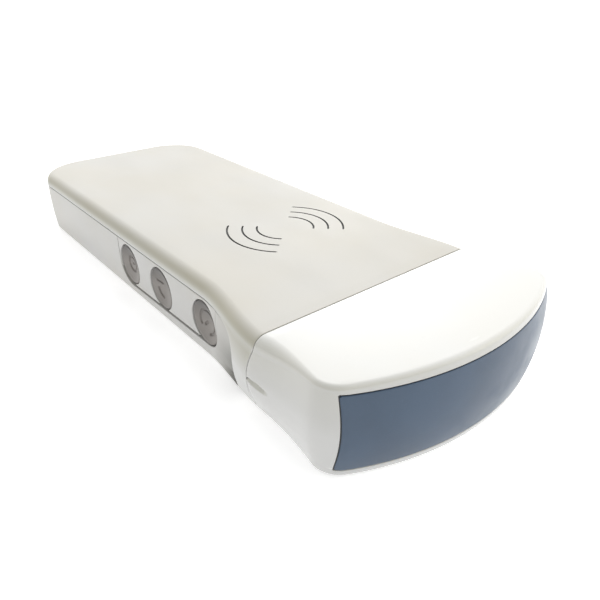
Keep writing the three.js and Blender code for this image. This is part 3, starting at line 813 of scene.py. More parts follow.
TONGUE_FACE, TONGUE_STEP, TONGUE_BACK = 1.3, 2.9, 3.9  # depths under the outer form
TONGUE_CORNER = 1.2


def tongue():
    """The ring of the head that plugs into the handle and backs the seam."""
    stations = [(SEAM_Y - 3, TONGUE_FACE), (SEAM_Y - 1.2, TONGUE_FACE), (SEAM_Y - 1.1, TONGUE_STEP),
                (SEAM_Y + 6, TONGUE_STEP)]
    outer = np.array([section_loop(y, depth) for y, depth in stations])
    inner = np.array([section_loop(y, TONGUE_BACK) for y, _ in stations])
    skin = Skin()
    skin.grid(outer, flip=True)
    skin.grid(inner)
    skin.grid(np.array([inner[0], outer[0]]), flip=True)
    skin.grid(np.array([outer[-1], inner[-1]]), flip=True)
    return skin.welded()


# ---------- keypad ----------
def inside(points, loop):
    """Which points lie inside a closed loop."""
    x, y = points[:, 0], points[:, 1]
    result = np.zeros(len(points), bool)
    for (x0, y0), (x1, y1) in zip(loop, np.roll(loop, -1, 0)):
        crosses = (y0 > y) != (y1 > y)
        slope = (x1 - x0) / (y1 - y0) if y1 != y0 else 0.0
        result ^= crosses & (x < x0 + (y - y0) * slope)
    return result


def filled(loop, holes, spacing):
    """Triangles that fill a flat loop round its holes, with a grid of points inside."""
    loops = [np.array(loop)] + [np.array(hole) for hole in holes]
    low, high = loops[0].min(0), loops[0].max(0)
    xs = np.arange(low[0] + spacing / 2, high[0], spacing)
    ys = np.arange(low[1] + spacing / 2, high[1], spacing)
    grid = np.array([(x + (k % 2) * spacing / 2, y) for k, y in enumerate(ys) for x in xs])
    border = np.concatenate(loops)
    gap = np.array([np.min(np.hypot(*(border - point).T)) for point in grid])
    grid = grid[gap > spacing * 0.45]
    links = []
    base = 0
    for ring in loops:
        links.extend((base + k, base + (k + 1) % len(ring)) for k in range(len(ring)))
        base += len(ring)
    coordinates = [Vector(point) for point in np.concatenate([border, grid])]
    points, _, triangles, _, _, _ = delaunay_2d_cdt(coordinates, links, [], 0, 1e-5)
    points = np.array([tuple(point) for point in points])
    centres = np.array([points[list(triangle)].mean(0) for triangle in triangles])
    keep = inside(centres, loops[0])
    for hole in loops[1:]:
        keep &= ~inside(centres, hole)
    return points, [triangle for triangle, kept in zip(triangles, keep) if kept]


def flank_surface(y, z, sunk=0.0):
    """The left flank's point at (y, z)."""
    x = float(half_width(y) + bow(y, z) - scoop(y, z))
    return (-x + sunk, y, z)


def keypad_panel():
    """The D-shaped strip in the left flank, with the three key holes."""
    radius = PANEL_RADIUS - EDGE
    rear = KEY_Y["rear"] + PANEL_RADIUS - EDGE - radius
    front = KEY_Y["front"] - PANEL_RADIUS + EDGE + radius

    def foot(y):
        return float(keypad_edge(y)) + PANEL_GROOVE + LIP

    def round_end(y, side, angles):
        return [(y - side * radius * math.cos(a), foot(y) + radius - radius * math.sin(a)) for a in angles]

    turn = np.linspace(0, math.pi / 2, 14)
    loop = round_end(front, 1, turn)
    loop += [(y, foot(y)) for y in np.linspace(front, rear, 30)[1:-1]]
    loop += round_end(rear, -1, turn[::-1])
    loop += [(y, SPLIT_Z - EDGE) for y in np.linspace(rear + radius, front - radius, 50)]
    holes = [circle((y, KEY_Z), KEY_HOLE + LIP, 96) for y in KEY_Y.values()]
    flat, triangles = filled(loop, holes, PANEL_SPACING)
    skin = Skin()
    # Seen from outside the left flank, y runs to the left, so the triangles turn over.
    skin.triangles([flank_surface(y, z, 0.03) for y, z in flat], [triangle[::-1] for triangle in triangles])
    return solid(skin, wall=PANEL_WALL)


MARK_DEPTH, MARK_HALF, MARK_SLOPE = 0.28, 0.42, 0.24


def ring_mark(u, v, radius, start, end):
    """Distance from an arc of a circle that runs between two angles in degrees."""
    angle = np.degrees(np.arctan2(v, u)) % 360
    on_arc = (angle - start) % 360 <= (end - start)
    ends = []
    for turn in (start, end):
        a = math.radians(turn)
        ends.append(np.hypot(u - radius * math.cos(a), v - radius * math.sin(a)))
    return np.where(on_arc, abs(np.hypot(u, v) - radius), np.minimum(*ends))


def bar_mark(u, v, a, b):
    """Distance from a straight bar."""
    along = np.array(b) - np.array(a)
    t = np.clip(((u - a[0]) * along[0] + (v - a[1]) * along[1]) / (along @ along), 0, 1)
    return np.hypot(u - a[0] - t * along[0], v - a[1] - t * along[1])


def key_mark(name, u, v):
    """Depth of the plain mark pressed into each key."""
    if name == "front":
        distance = np.minimum(ring_mark(u, v, 2.75, -75, 205), bar_mark(u, v, (-1.3, -1.0), (-0.5, -0.3)))
    elif name == "middle":
        distance = np.minimum(bar_mark(u, v, (-2.6, 1.1), (-0.6, 0.9)), ring_mark(u, v, 2.6, 200, 262))
    else:
        distance = np.minimum(ring_mark(u, v, 1.9, 0, 359), bar_mark(u, v, (0, 0), (0.05, 0)))
    return MARK_DEPTH * smooth((MARK_HALF - distance) / MARK_SLOPE)


KEY_SUNK, KEY_ROLL, KEY_DISH, DISH_POWER = 0.2, 0.45, 0.85, 1.15
KEY_FLANGE, KEY_FLANGE_FRONT, KEY_FLANGE_BACK = 5.45, -2.0, -2.5
KEY_STEM = 1.3


def key_cap(name):
    """A dished key with a rolled edge, a retaining flange and a stem."""
    y = KEY_Y[name]
    face = float(half_width(y)) + BULGE_HANDLE - KEY_SUNK
    flat = KEY_RADIUS - KEY_ROLL
    turns = 180
    profile = [(r, -KEY_DISH * (1 - (r / flat) ** 2) ** DISH_POWER) for r in np.linspace(0, flat, 60)]
    for angle in np.linspace(0, math.pi / 2, 7)[1:]:
        profile.append((flat + KEY_ROLL * math.sin(angle), -KEY_ROLL * (1 - math.cos(angle))))
    stem_end = -(edges(f"button_{name}")[1][0] + face)
    profile += [(KEY_RADIUS, KEY_FLANGE_FRONT + 0.02), (KEY_FLANGE, KEY_FLANGE_FRONT),
                (KEY_FLANGE, KEY_FLANGE_BACK), (KEY_STEM, KEY_FLANGE_BACK),
                (KEY_STEM, stem_end), (0, stem_end)]
    rows = []
    for r, h in profile:
        marked = r < flat - 0.3 and h > KEY_FLANGE_FRONT + 0.1
        row = []
        for turn in range(turns + 1):
            angle = turn / turns * 2 * math.pi
            u, v = r * math.cos(angle), r * math.sin(angle)
            depth = float(key_mark(name, u, v)) if marked else 0.0
            row.append((-(face + h - depth), y - u, KEY_Z + v))
        rows.append(row)
    return closed_grid(rows, flip=True)


# ---------- engraving, port, screws and label ----------
def strip_solid(pairs, low_of, high_of):
    """A closed strip between paired points on its two sides; its heights follow their place along Y."""
    lower = [(x, y, low_of(y)) for pair in pairs for x, y in pair]
    upper = [(x, y, high_of(y)) for pair in pairs for x, y in pair]
    lift = len(lower)
    faces = []
    for k in range(len(pairs) - 1):
        a, b, c, d = 2 * k, 2 * k + 1, 2 * k + 3, 2 * k + 2
        faces.append((d, c, b, a))
        faces.append((a + lift, b + lift, c + lift, d + lift))
        faces.append((b, c, c + lift, b + lift))
        faces.append((d, a, a + lift, d + lift))
    last = lift - 2
    faces.append((0, 1, 1 + lift, lift))
    faces.append((last + 1, last, last + lift, last + 1 + lift))
    return np.array(lower + upper), faces


ICON_CENTRE = (4.0, -15.7)
ICON_RADII = (6.8, 10.3, 13.9)
ICON_SPREAD = 45
ICON_LINE = 0.46
ICON_DEPTH = 0.22


def icon_floor(y):
    return top_height(y) - ICON_DEPTH


def above_top(y):
    return top_height(y) + 0.5


def icon_arc(middle, radius):
    """One engraved arc about the icon's centre, with round ends; angles in degrees."""
    cap = math.degrees(ICON_LINE / 2 / radius)
    pairs = []
    for step in np.linspace(-ICON_SPREAD - cap, ICON_SPREAD + cap, 48):
        over = max(0.0, abs(step) - ICON_SPREAD) / cap
        half = ICON_LINE / 2 * math.sqrt(max(0.02, 1 - over * over))
        a = math.radians(middle + step)
        pairs.append([(ICON_CENTRE[0] + r * math.cos(a), ICON_CENTRE[1] + r * math.sin(a))
                      for r in (radius - half, radius + half)])
    return strip_solid(pairs, icon_floor, above_top)


def lathe(profile, centre, turns=48):
    """A closed solid of revolution about an upright axis; the profile starts and ends on it."""
    rows = []
    for r, z in profile:
        rows.append([(centre[0] + r * math.cos(k / turns * 2 * math.pi),
                      centre[1] + r * math.sin(k / turns * 2 * math.pi), z) for k in range(turns + 1)])
    return closed_grid(rows)


def slot_solid(sections, centre_z):
    """A solid along y with round ends, from (y, width, height) sections, closed at its first and last y."""
    rings = [(y, rounded_plate((-w / 2, -h / 2), (w / 2, h / 2), h / 2)) for y, w, h in sections]
    point = [(0, 0)] * len(rings[0][1])
    rows = []
    for y, ring in [(sections[0][0], point), *rings, (sections[-1][0], point)]:
        rows.append([(x, y, centre_z + z) for x, z in ring + ring[:1]])
    return closed_grid(rows, flip=True)


def upright_ring(loop, levels):
    """A closed solid from a loop of plan points and (share of its size, z) levels, closed at both ends."""
    centre = np.mean(loop, 0)
    rows = []
    for share, z in [(0, levels[0][1]), *levels, (0, levels[-1][1])]:
        ring = centre + (np.array(loop) - centre) * share
        rows.append([(x, y, z) for x, y in np.concatenate([ring, ring[:1]])])
    return closed_grid(rows)


SCREWS = ["cover_screw_rear_left", "cover_screw_rear_right", "cover_screw_middle_left",
          "cover_screw_middle_right", "head_screw_left", "head_screw_right"]
SCREW_HEAD = 1.2  # height of a screw's head
SCREW_SHARP, KEY_SHARP = 35, 50  # angles in degrees past which an edge is drawn sharp
THREAD_PITCH, THREAD_FLANK, THREAD_CREST, THREAD_ROOT = 0.45, 0.22, 0.95, 0.78
SOCKET_RADIUS, SOCKET_DEPTH = 0.85, 0.75
SEAT_HEIGHT, SEAT_RADIUS, SEAT_MOUTH = 1.35, 2.2, 2.35
SHAFT_HOLE, SHAFT_TOP = 1.1, 9.0


def screw(node):
    """A pan-head screw, head down, with a hex socket."""
    low, high = edges(node)
    centre = (low + high) / 2
    radius = (high[0] - low[0]) / 2
    base, top = low[2], high[2]
    profile = [(0, base), (radius - 0.5, base), (radius - 0.2, base + 0.1), (radius, base + 0.35),
               (radius, base + 1.05), (radius - 0.1, base + 1.15), (THREAD_CREST, base + SCREW_HEAD)]
    z = base + 1.5
    while z < top - 0.8:
        profile += [(THREAD_CREST, z), (THREAD_ROOT, z + THREAD_FLANK)]
        z += THREAD_PITCH
    profile += [(0.3, top), (0, top)]
    piece = make_object(f"{node}_body", *lathe(profile, centre), SCREW_SHARP)
    hexagon = circle((centre[0], centre[1]), SOCKET_RADIUS, 6)
    socket = make_object("socket", *upright_ring(hexagon, [(1, base - 1), (1, base + SOCKET_DEPTH)]))
    return cut(piece, [socket], SCREW_SHARP)


def screw_seat(node):
    """The stepped hole in the tray or head for a screw."""
    low, high = edges(node)
    centre = (low + high) / 2
    face = float(bottom_height(centre[1]))
    seat = low[2] + SEAT_HEIGHT
    profile = [(0, -1), (SEAT_MOUTH, -1), (SEAT_MOUTH, face), (SEAT_RADIUS, face + 0.15), (SEAT_RADIUS, seat),
               (SHAFT_HOLE, seat), (SHAFT_HOLE, SHAFT_TOP), (0, SHAFT_TOP)]
    return lathe(profile, centre)


LABEL_CORNER, LABEL_GAP, LABEL_SUNK = 1.4, 0.3, 0.3


def label_recess():
    low, high = edges("rating_label")
    plate = rounded_plate(low - LABEL_GAP, high + LABEL_GAP, LABEL_CORNER + 0.2)
    return upright_ring(plate, [(1, -1), (1, LABEL_SUNK)])


def label_plate():
    low, high = edges("rating_label")
    bevel = 1 - 0.05 / 12
    plate = rounded_plate(low, high, LABEL_CORNER)
    return upright_ring(plate, [(bevel, low[2]), (1, low[2] + 0.04), (1, high[2])])


PORT_LOW, PORT_HIGH = edges("charge_port")
PORT_Z = (PORT_LOW[2] + PORT_HIGH[2]) / 2
PORT_FACE = PORT_HIGH[1]
PORT_WIDTH = PORT_HIGH[0] - PORT_LOW[0]
PORT_HEIGHT = PORT_HIGH[2] - PORT_LOW[2]
PORT_DEPTH = 6.0
MOUTH_WIDTH, MOUTH_HEIGHT, MOUTH_FLARE = 9.6, 3.8, 0.7
CONTACT_PITCH, CONTACT_COUNT, CONTACT_HALF = 0.5, 12, 0.13
CONTACT_LOW, CONTACT_HIGH = 0.33, 0.38


def port_cutter():
    """The opening in the rear edge, flared outwards."""
    narrow = (MOUTH_WIDTH, MOUTH_HEIGHT)
    wide = (MOUTH_WIDTH + MOUTH_FLARE, MOUTH_HEIGHT + MOUTH_FLARE)
    return slot_solid([(REAR_Y - 5, *narrow), (REAR_Y - 0.12, *narrow), (REAR_Y + 0.35, *wide),
                       (REAR_Y + 2, *wide)], PORT_Z)


def port_shell():
    """The drawn shell of the charging socket, open at its face."""
    def size(less):
        return PORT_WIDTH - less, PORT_HEIGHT - less

    return slot_solid([(PORT_LOW[1], *size(0)), (PORT_FACE - 0.1, *size(0)), (PORT_FACE, *size(0.2)),
                       (PORT_FACE, *size(0.5)), (PORT_FACE - 0.1, *size(0.7)),
                       (PORT_FACE - PORT_DEPTH, *size(0.7))], PORT_Z)


def port_tongue():
    return slot_solid([(PORT_FACE - PORT_DEPTH - 0.2, 6.6, 0.68), (PORT_FACE - 0.9, 6.6, 0.68),
                       (PORT_FACE - 0.7, 6.4, 0.5)], PORT_Z)


def contact(x, side):
    """One gold contact on the upper or lower face of the socket's tongue."""
    low, high = sorted((PORT_Z + side * CONTACT_LOW, PORT_Z + side * CONTACT_HIGH))
    loop = rounded_plate((x - CONTACT_HALF, PORT_FACE - 5), (x + CONTACT_HALF, PORT_FACE - 1), 0.05, 2)
    return upright_ring(loop, [(1, low), (1, high)])


# ---------- pieces ----------
PAINT = bpy.data.materials.new("engraved_grey")


def lid():
    """The lid with its two facing groups of engraved arcs."""
    icon = joined("icon_tool", *(icon_arc(middle, radius) for middle in (0, 180) for radius in ICON_RADII))
    icon.data.materials.append(PAINT)
    return cut(make_object("lid", *top_cover()), [icon])


def tray():
    """The tray with its screw holes, label recess and port opening."""
    below = joined("underside_tool", *(screw_seat(node) for node in SCREWS), label_recess())
    return cut(make_object("tray", *bottom_cover()), [below, make_object("port_tool", *port_cutter())])


def attach(piece, body, node, slot_name):
    """Rides a piece on its body in place of its CAD node, with the node's material slot."""
    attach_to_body(piece, body)
    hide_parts(node)
    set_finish(piece, slot_name)
    return piece


def housing_piece(piece, node, slot_name):
    return attach(level(piece), "housing", node, slot_name)


def build_pieces():
    contact_xs = [(k - (CONTACT_COUNT - 1) / 2) * CONTACT_PITCH for k in range(CONTACT_COUNT)]
    contacts = [contact(x, side) for x in contact_xs for side in (1, -1)]
    pieces = [
        housing_piece(lid(), "top_cover", "cover_cream"),
        housing_piece(tray(), "bottom_cover", "cover_cool"),
        housing_piece(joined("probe_head", head_shell(), tongue()), "head_shell", "head_gloss"),
        housing_piece(make_object("probe_lens", *lens()), "acoustic_lens", "lens_rubber"),
        housing_piece(make_object("lens_adhesive", *lens_bond()), "lens_bond", "seal_rubber"),
        housing_piece(make_object("keypad_strip", *keypad_panel()), "keypad_panel", "cover_cool"),
    ]
    for name in KEY_Y:
        cap = make_object(f"key_{name}", *key_cap(name), KEY_SHARP)
        pieces.append(attach(cap, f"{name}_key", f"button_{name}", "key_rubber"))
    for node in SCREWS:
        pieces.append(attach(screw(node), "housing", node, "steel_plated"))
    label = make_object("label_plate", *label_plate())
    shell = joined("socket_shell", port_shell(), port_tongue())
    pieces.append(attach(label, "housing", "rating_label", "label_silver"))
    pieces.append(attach(shell, "housing", "charge_port", "steel_plated"))
    pieces.append(attach(joined("socket_contacts", *contacts), "housing", "charge_port", "steel_plated"))
    return pieces


# ---------- materials ----------
class Nodes:
    """A node tree that is written as calculations: numbers, tuples and sockets can all be wired in."""

    def __init__(self, tree):
        self.tree = tree

    def add(self, kind, **settings):
        node = self.tree.nodes.new(kind)
        for key, value in settings.items():
            setattr(node, key, value)
        return node

    def wire(self, source, target):
        if isinstance(source, (int, float)):
            target.default_value = source
        elif isinstance(source, tuple):
            target.default_value = (*source, 1)
        else:
            self.tree.links.new(source, target)

    def math(self, operation, a, b=0.0):
        node = self.add("ShaderNodeMath", operation=operation)
        self.wire(a, node.inputs[0])
        self.wire(b, node.inputs[1])
        return node.outputs[0]

    def product(self, first, *others):
        for other in others:
            first = self.math("MULTIPLY", first, other)
        return first

    def axes(self, vector):
        """The three parts of a vector."""
        split = self.add("ShaderNodeSeparateXYZ")
        self.wire(vector, split.inputs[0])
        return split.outputs

    def span(self, source, from_low, from_high, to_low=0, to_high=1):
        """The source, stretched from one range to another and clamped there."""
        node = self.add("ShaderNodeMapRange")
        names = ("From Min", "From Max", "To Min", "To Max")
        for key, value in zip(names, (from_low, from_high, to_low, to_high)):
            node.inputs[key].default_value = value
        self.wire(source, node.inputs["Value"])
        return node.outputs[0]


class Finish(Nodes):
    """A procedural material on object coordinates, with feature sizes in millimetres."""

    SOCKETS = {"colour": "Base Color", "roughness": "Roughness", "metal": "Metallic", "coat": "Coat Weight",
               "coat_roughness": "Coat Roughness", "specular": "Specular IOR Level", "sheen": "Sheen Weight",
               "sheen_roughness": "Sheen Roughness", "glow": "Emission Color",
               "glow_strength": "Emission Strength"}

    def __init__(self, name):
        self.material = bpy.data.materials.get(name) or bpy.data.materials.new(name)
        self.material.use_nodes = True
        super().__init__(self.material.node_tree)
        self.shader = self.tree.nodes["Principled BSDF"]
        self.place = self.add("ShaderNodeTexCoord").outputs["Object"]

    def surface(self, **values):
        for key, value in values.items():
            self.wire(value, self.shader.inputs[self.SOCKETS[key]])

    def noise(self, size, detail=3, stretch=(1, 1, 1)):
        mapping = self.add("ShaderNodeMapping")
        mapping.inputs["Scale"].default_value = stretch
        self.wire(self.place, mapping.inputs["Vector"])
        noise = self.add("ShaderNodeTexNoise")
        noise.inputs["Scale"].default_value = 1 / (size * MM)
        noise.inputs["Detail"].default_value = detail
        self.wire(mapping.outputs[0], noise.inputs["Vector"])
        return noise.outputs["Fac"]

    def cells(self, size):
        cells = self.add("ShaderNodeTexVoronoi")
        cells.inputs["Scale"].default_value = 1 / (size * MM)
        self.wire(self.place, cells.inputs["Vector"])
        return cells.outputs["Distance"]

    def blend(self, share, a, b, mode="MIX", strength=1.0):
        node = self.add("ShaderNodeMix", data_type="RGBA", blend_type=mode)
        if strength < 1:
            share = self.product(share, strength)
        self.wire(share, node.inputs[0])
        self.wire(a, node.inputs[6])
        self.wire(b, node.inputs[7])
        return node.outputs[2]

    def crevice(self, reach):
        """1 in the open, falling to 0 deep in a joint; it masks painted shade."""
        node = self.add("ShaderNodeAmbientOcclusion", samples=6)
        node.inputs["Distance"].default_value = reach * MM
        return self.span(node.outputs["AO"], 0.25, 0.85)

    def pointy_edge(self):
        """1 on sharp outer edges."""
        return self.span(self.add("ShaderNodeNewGeometry").outputs["Pointiness"], 0.53, 0.62)

    def lean(self):
        """The surface normal's height: 1 where it looks up, 0 where it is upright, -1 where it looks down."""
        return self.axes(self.add("ShaderNodeNewGeometry").outputs["Normal"])["Z"]

    def rolled_edge(self):
        """1 where the surface leans halfway between level and upright, 0 at both ends: the mask of the
        painted shade on rolled edges.
        """
        level = self.math("MAXIMUM", self.lean(), 0.0)
        return self.product(level, self.math("SUBTRACT", 1.0, level), 4.0)

    def upright(self):
        """1 on upright and overhanging faces, 0 on level ones."""
        return self.span(self.lean(), 0.1, 0.6, 1, 0)

    def scoop_shade_zone(self):
        """Mask of the painted shade in the finger scoop: 1 at its foot beside the collar, fading backwards
        and upwards.
        """
        place = self.axes(self.place)
        back = self.span(place["Y"], (COLLAR_Y + 1) * MM, (COLLAR_Y + 12) * MM, 1, 0)
        low = self.span(place["Z"], 6 * MM, 14 * MM, 1, 0.1)
        outer = self.span(self.math("ABSOLUTE", place["X"]), 22 * MM, 25 * MM)
        behind = self.span(place["Y"], (COLLAR_Y - 0.6) * MM, (COLLAR_Y - 0.1) * MM)
        return self.product(self.product(back, low), self.product(outer, behind))

    def relief(self, *layers):
        """Bump from (height source, depth in mm) layers, one on the other."""
        normal = None
        for source, depth in layers:
            bump = self.add("ShaderNodeBump")
            bump.inputs["Distance"].default_value = depth * MM
            self.wire(source, bump.inputs["Height"])
            if normal is not None:
                self.wire(normal, bump.inputs["Normal"])
            normal = bump.outputs[0]
        self.wire(normal, self.shader.inputs["Normal"])


def scaled(colour, factor):
    return tuple(min(1.0, channel * factor) for channel in colour)


ROLLED_EDGE_SHADE = (0.7, 0.69, 0.6)  # painted shade: the olive grey multiplied onto rolled edges
# painted shade in the finger scoop
SCOOP_SHADE = (0.26, 0.26, 0.245)
# painted shade towards the top of the keys
KEY_TOP_SHADE = (0.28, 0.28, 0.28)
WARM_DRIFT = (1.0, 0.985, 0.95)


def moulded(name, colour, roughness, grain, depth, crevice_shade=0.55, coat=0.0, rolled=1.0, painted_side_tone=None,
            scoop_shaded=False):
    """Moulded plastic: spark-eroded grain, slow colour drift, handling marks, lighter sharp edges, painted
    shade in its joints and on its rolled edges, and where asked painted shade in the finger scoop and a
    painted tone on its sides.
    """
    finish = Finish(name)
    drift = finish.span(finish.noise(24, 2), 0.35, 0.65)
    base = finish.blend(drift, colour, tuple(channel * share for channel, share in zip(colour, WARM_DRIFT)))
    # painted light: upright faces take another tone than the top, as the light falls on them differently
    if painted_side_tone:
        base = finish.blend(finish.upright(), base, painted_side_tone)
    base = finish.blend(finish.span(finish.noise(0.9, 2), 0.66, 0.78, 0, 0.06), base, scaled(colour, 0.6))
    # lighter colour on sharp outer edges
    base = finish.blend(finish.product(finish.pointy_edge(), 0.35), base, scaled(colour, 1.12))
    # painted shade: rolled edges darkened towards olive grey, where they lean away from the light
    base = finish.blend(finish.rolled_edge(), base, ROLLED_EDGE_SHADE, "MULTIPLY", rolled)
    # painted shade: darker deep in joints and creases
    base = finish.blend(finish.crevice(0.45), scaled(colour, crevice_shade), base)
    # painted shade at the foot of the finger scoop
    if scoop_shaded:
        base = finish.blend(finish.scoop_shade_zone(), base, SCOOP_SHADE, "MULTIPLY")
    rub = finish.span(finish.noise(7, 4, (1, 0.35, 1)), 0.4, 0.72, -0.03, 0.06)
    finish.surface(colour=base, roughness=finish.math("ADD", rub, roughness), coat=coat, coat_roughness=0.06)
    finish.relief((finish.noise(grain, 3), depth), (finish.noise(11, 2), 0.006))
    return finish.material


def rubber(name, colour, roughness, grain, depth, sheen=0.0, shaded_above=False):
    """Silicone: fine speckle, faint bloom, a soft sheen and a slightly uneven surface."""
    finish = Finish(name)
    cloud = finish.span(finish.noise(9, 4), 0.38, 0.68)
    base = finish.blend(cloud, scaled(colour, 0.94), scaled(colour, 1.08))
    base = finish.blend(finish.span(finish.noise(0.35, 2), 0.62, 0.75, 0, 0.16), base, scaled(colour, 1.6))
    # painted shade: the keys darker towards their top
    if shaded_above:
        above = finish.span(finish.axes(finish.place)["Z"], (KEY_Z - 0.5) * MM, (KEY_Z + 4.6) * MM)
        base = finish.blend(above, base, KEY_TOP_SHADE, "MULTIPLY")
    # painted shade: darker deep in joints and creases
    base = finish.blend(finish.crevice(0.8), scaled(colour, 0.5), base)
    wear = finish.span(finish.noise(4, 3), 0.4, 0.7, -0.04, 0.06)
    rough = finish.math("ADD", wear, roughness)
    finish.surface(colour=base, roughness=rough, sheen=sheen, sheen_roughness=0.45)
    finish.relief((finish.noise(grain, 2), depth), (finish.noise(14, 2), 0.01))
    return finish.material


def metal(name, colour, roughness, stretch=(1, 1, 1), grain=0.2, depth=0.003):
    """Drawn, brushed or plated metal with fine lines and dull patches."""
    finish = Finish(name)
    lines = finish.noise(grain, 4, stretch)
    base = finish.blend(finish.span(finish.noise(2.5, 3), 0.4, 0.7), colour, scaled(colour, 0.86))
    # painted shade: darker deep in joints and creases
    base = finish.blend(finish.crevice(0.7), scaled(colour, 0.4), base)
    rough = finish.math("ADD", finish.span(lines, 0.3, 0.7, -0.06, 0.08), roughness)
    finish.surface(colour=base, metal=1.0, roughness=rough)
    finish.relief((lines, depth))
    return finish.material


def circuit_board(name):
    """Green solder mask with copper traces and tinned vias showing through."""
    finish = Finish(name)
    traces = finish.add("ShaderNodeTexBrick", offset=0.37, squash=1.6, squash_frequency=3)
    traces.inputs["Scale"].default_value = 1 / (2.2 * MM)
    traces.inputs["Mortar Size"].default_value = 0.05
    finish.wire(finish.place, traces.inputs["Vector"])
    base = finish.blend(traces.outputs["Fac"], (0.012, 0.11, 0.045), (0.03, 0.2, 0.08))
    base = finish.blend(finish.span(finish.cells(1.7), 0.12, 0.15, 1, 0), base, (0.62, 0.55, 0.32))
    base = finish.blend(finish.span(finish.noise(6, 3), 0.35, 0.7, 0, 0.25), base, (0.01, 0.07, 0.03))
    finish.surface(colour=base, roughness=0.38, coat=0.3, coat_roughness=0.12)
    finish.relief((traces.outputs["Fac"], 0.02), (finish.noise(0.6, 2), 0.004))
    return finish.material


def blank_label(name):
    """A brushed silver label with a printed border and no wording."""
    finish = Finish(name)
    low, high = (Vector(corner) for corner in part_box("rating_label"))
    place = finish.axes(finish.place)
    past_border = []
    for axis in (0, 1):
        middle, half = (low[axis] + high[axis]) / 2, (high[axis] - low[axis]) / 2
        away = finish.math("ABSOLUTE", finish.math("SUBTRACT", place[axis], middle))
        past_border.append(finish.math("SUBTRACT", away, half - 1.3 * MM))
    border = finish.math("ABSOLUTE", finish.math("MAXIMUM", *past_border))
    brushed = finish.noise(0.25, 4, (0.05, 1, 1))
    base = finish.blend(finish.span(brushed, 0.3, 0.7), (0.6, 0.61, 0.63), (0.72, 0.73, 0.74))
    base = finish.blend(finish.span(border, 0.1 * MM, 0.18 * MM, 1, 0), base, (0.09, 0.1, 0.11))
    finish.surface(colour=base, metal=0.55, roughness=0.34)
    finish.relief((brushed, 0.003))
    return finish.material


def make_materials():
    """One finish for each material slot of the record."""
    # Some settings of the cover finishes set painted shade in joints, on rolled edges and in the finger
    # scoop, and a painted tone on the sides.
    return {
        "cover_cream": moulded("cream_satin", (0.64, 0.626, 0.58), 0.48, 0.28, 0.006, crevice_shade=0.8, rolled=0.95,
                               painted_side_tone=(0.66, 0.66, 0.645)),
        "cover_cool": moulded("cool_white_satin", (0.571, 0.568, 0.551), 0.4, 0.28, 0.006, crevice_shade=0.8,
                              rolled=0.3, scoop_shaded=True),
        "head_gloss": moulded("polished_white", (0.735, 0.737, 0.715), 0.16, 0.6, 0.0015, coat=0.6,
                              rolled=0.5, painted_side_tone=(0.565, 0.565, 0.55)),
        "lens_rubber": rubber("lens_silicone", (0.046, 0.08, 0.13), 0.32, 0.5, 0.003, sheen=0.12),
        "seal_rubber": rubber("dark_silicone", (0.07, 0.072, 0.07), 0.6, 0.3, 0.006),
        "key_rubber": rubber("key_silicone", (0.25, 0.229, 0.21), 0.5, 0.22, 0.008, sheen=0.1,
                             shaded_above=True),
        "pcb_green": circuit_board("solder_mask"),
        "chip_black": rubber("chip_epoxy", (0.022, 0.022, 0.024), 0.5, 0.12, 0.006),
        "steel_plated": metal("plated_steel", (0.6, 0.6, 0.61), 0.3, grain=0.15),
        "aluminium_plain": metal("plain_aluminium", (0.72, 0.73, 0.75), 0.38, (0.04, 1, 1)),
        "frame_black": moulded("frame_nylon", (0.035, 0.036, 0.038), 0.62, 0.35, 0.012),
        "battery_foil": metal("pouch_foil", (0.55, 0.56, 0.58), 0.42, grain=1.6, depth=0.03),
        "polyimide_film": moulded("polyimide", (0.46, 0.2, 0.035), 0.3, 0.5, 0.002, coat=0.3),
        "connector_ivory": moulded("connector_nylon", (0.66, 0.6, 0.46), 0.5, 0.3, 0.006),
        "piezo_ceramic": moulded("piezo", (0.6, 0.55, 0.43), 0.6, 0.12, 0.006),
        "matching_blue": moulded("matching_epoxy", (0.2, 0.3, 0.42), 0.45, 0.2, 0.004),
        "thermal_pad_blue": rubber("gap_pad", (0.22, 0.33, 0.45), 0.75, 0.25, 0.01),
        "label_silver": blank_label("label_foil"),
    }


def paint_everything(pieces):
    """Gives every CAD node and piece the finish of its slot; the lid keeps its engraving's own."""
    finishes = make_materials()
    slots = {part["node"]: part["material_slot"] for part in frame["record"]["subparts"]}
    for node, cad_object in frame["nodes"].items():
        cad_object.data.materials.clear()
        cad_object.data.materials.append(finishes[slots[node]])
    for piece in pieces:
        finish = finishes[piece["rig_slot"]]
        engraved = [k for k, used in enumerate(piece.data.materials) if used == PAINT]
        if engraved:
            piece.data.materials[1 - engraved[0]] = finish
        else:
            piece.data.materials.clear()
            piece.data.materials.append(finish)
    rubber(PAINT.name, (0.06, 0.06, 0.055), 0.6, 0.2, 0.004)


# ---------- camera ----------
CAMERA_AZIMUTH, CAMERA_HEIGHT, CAMERA_ROLL = -38.01, 29.88, -1.01  # in degrees
CAMERA_TARGET = (-6.78, -34.77, 10)
CAMERA_DISTANCE = 118.43
FOCAL_LENGTH = 33.37


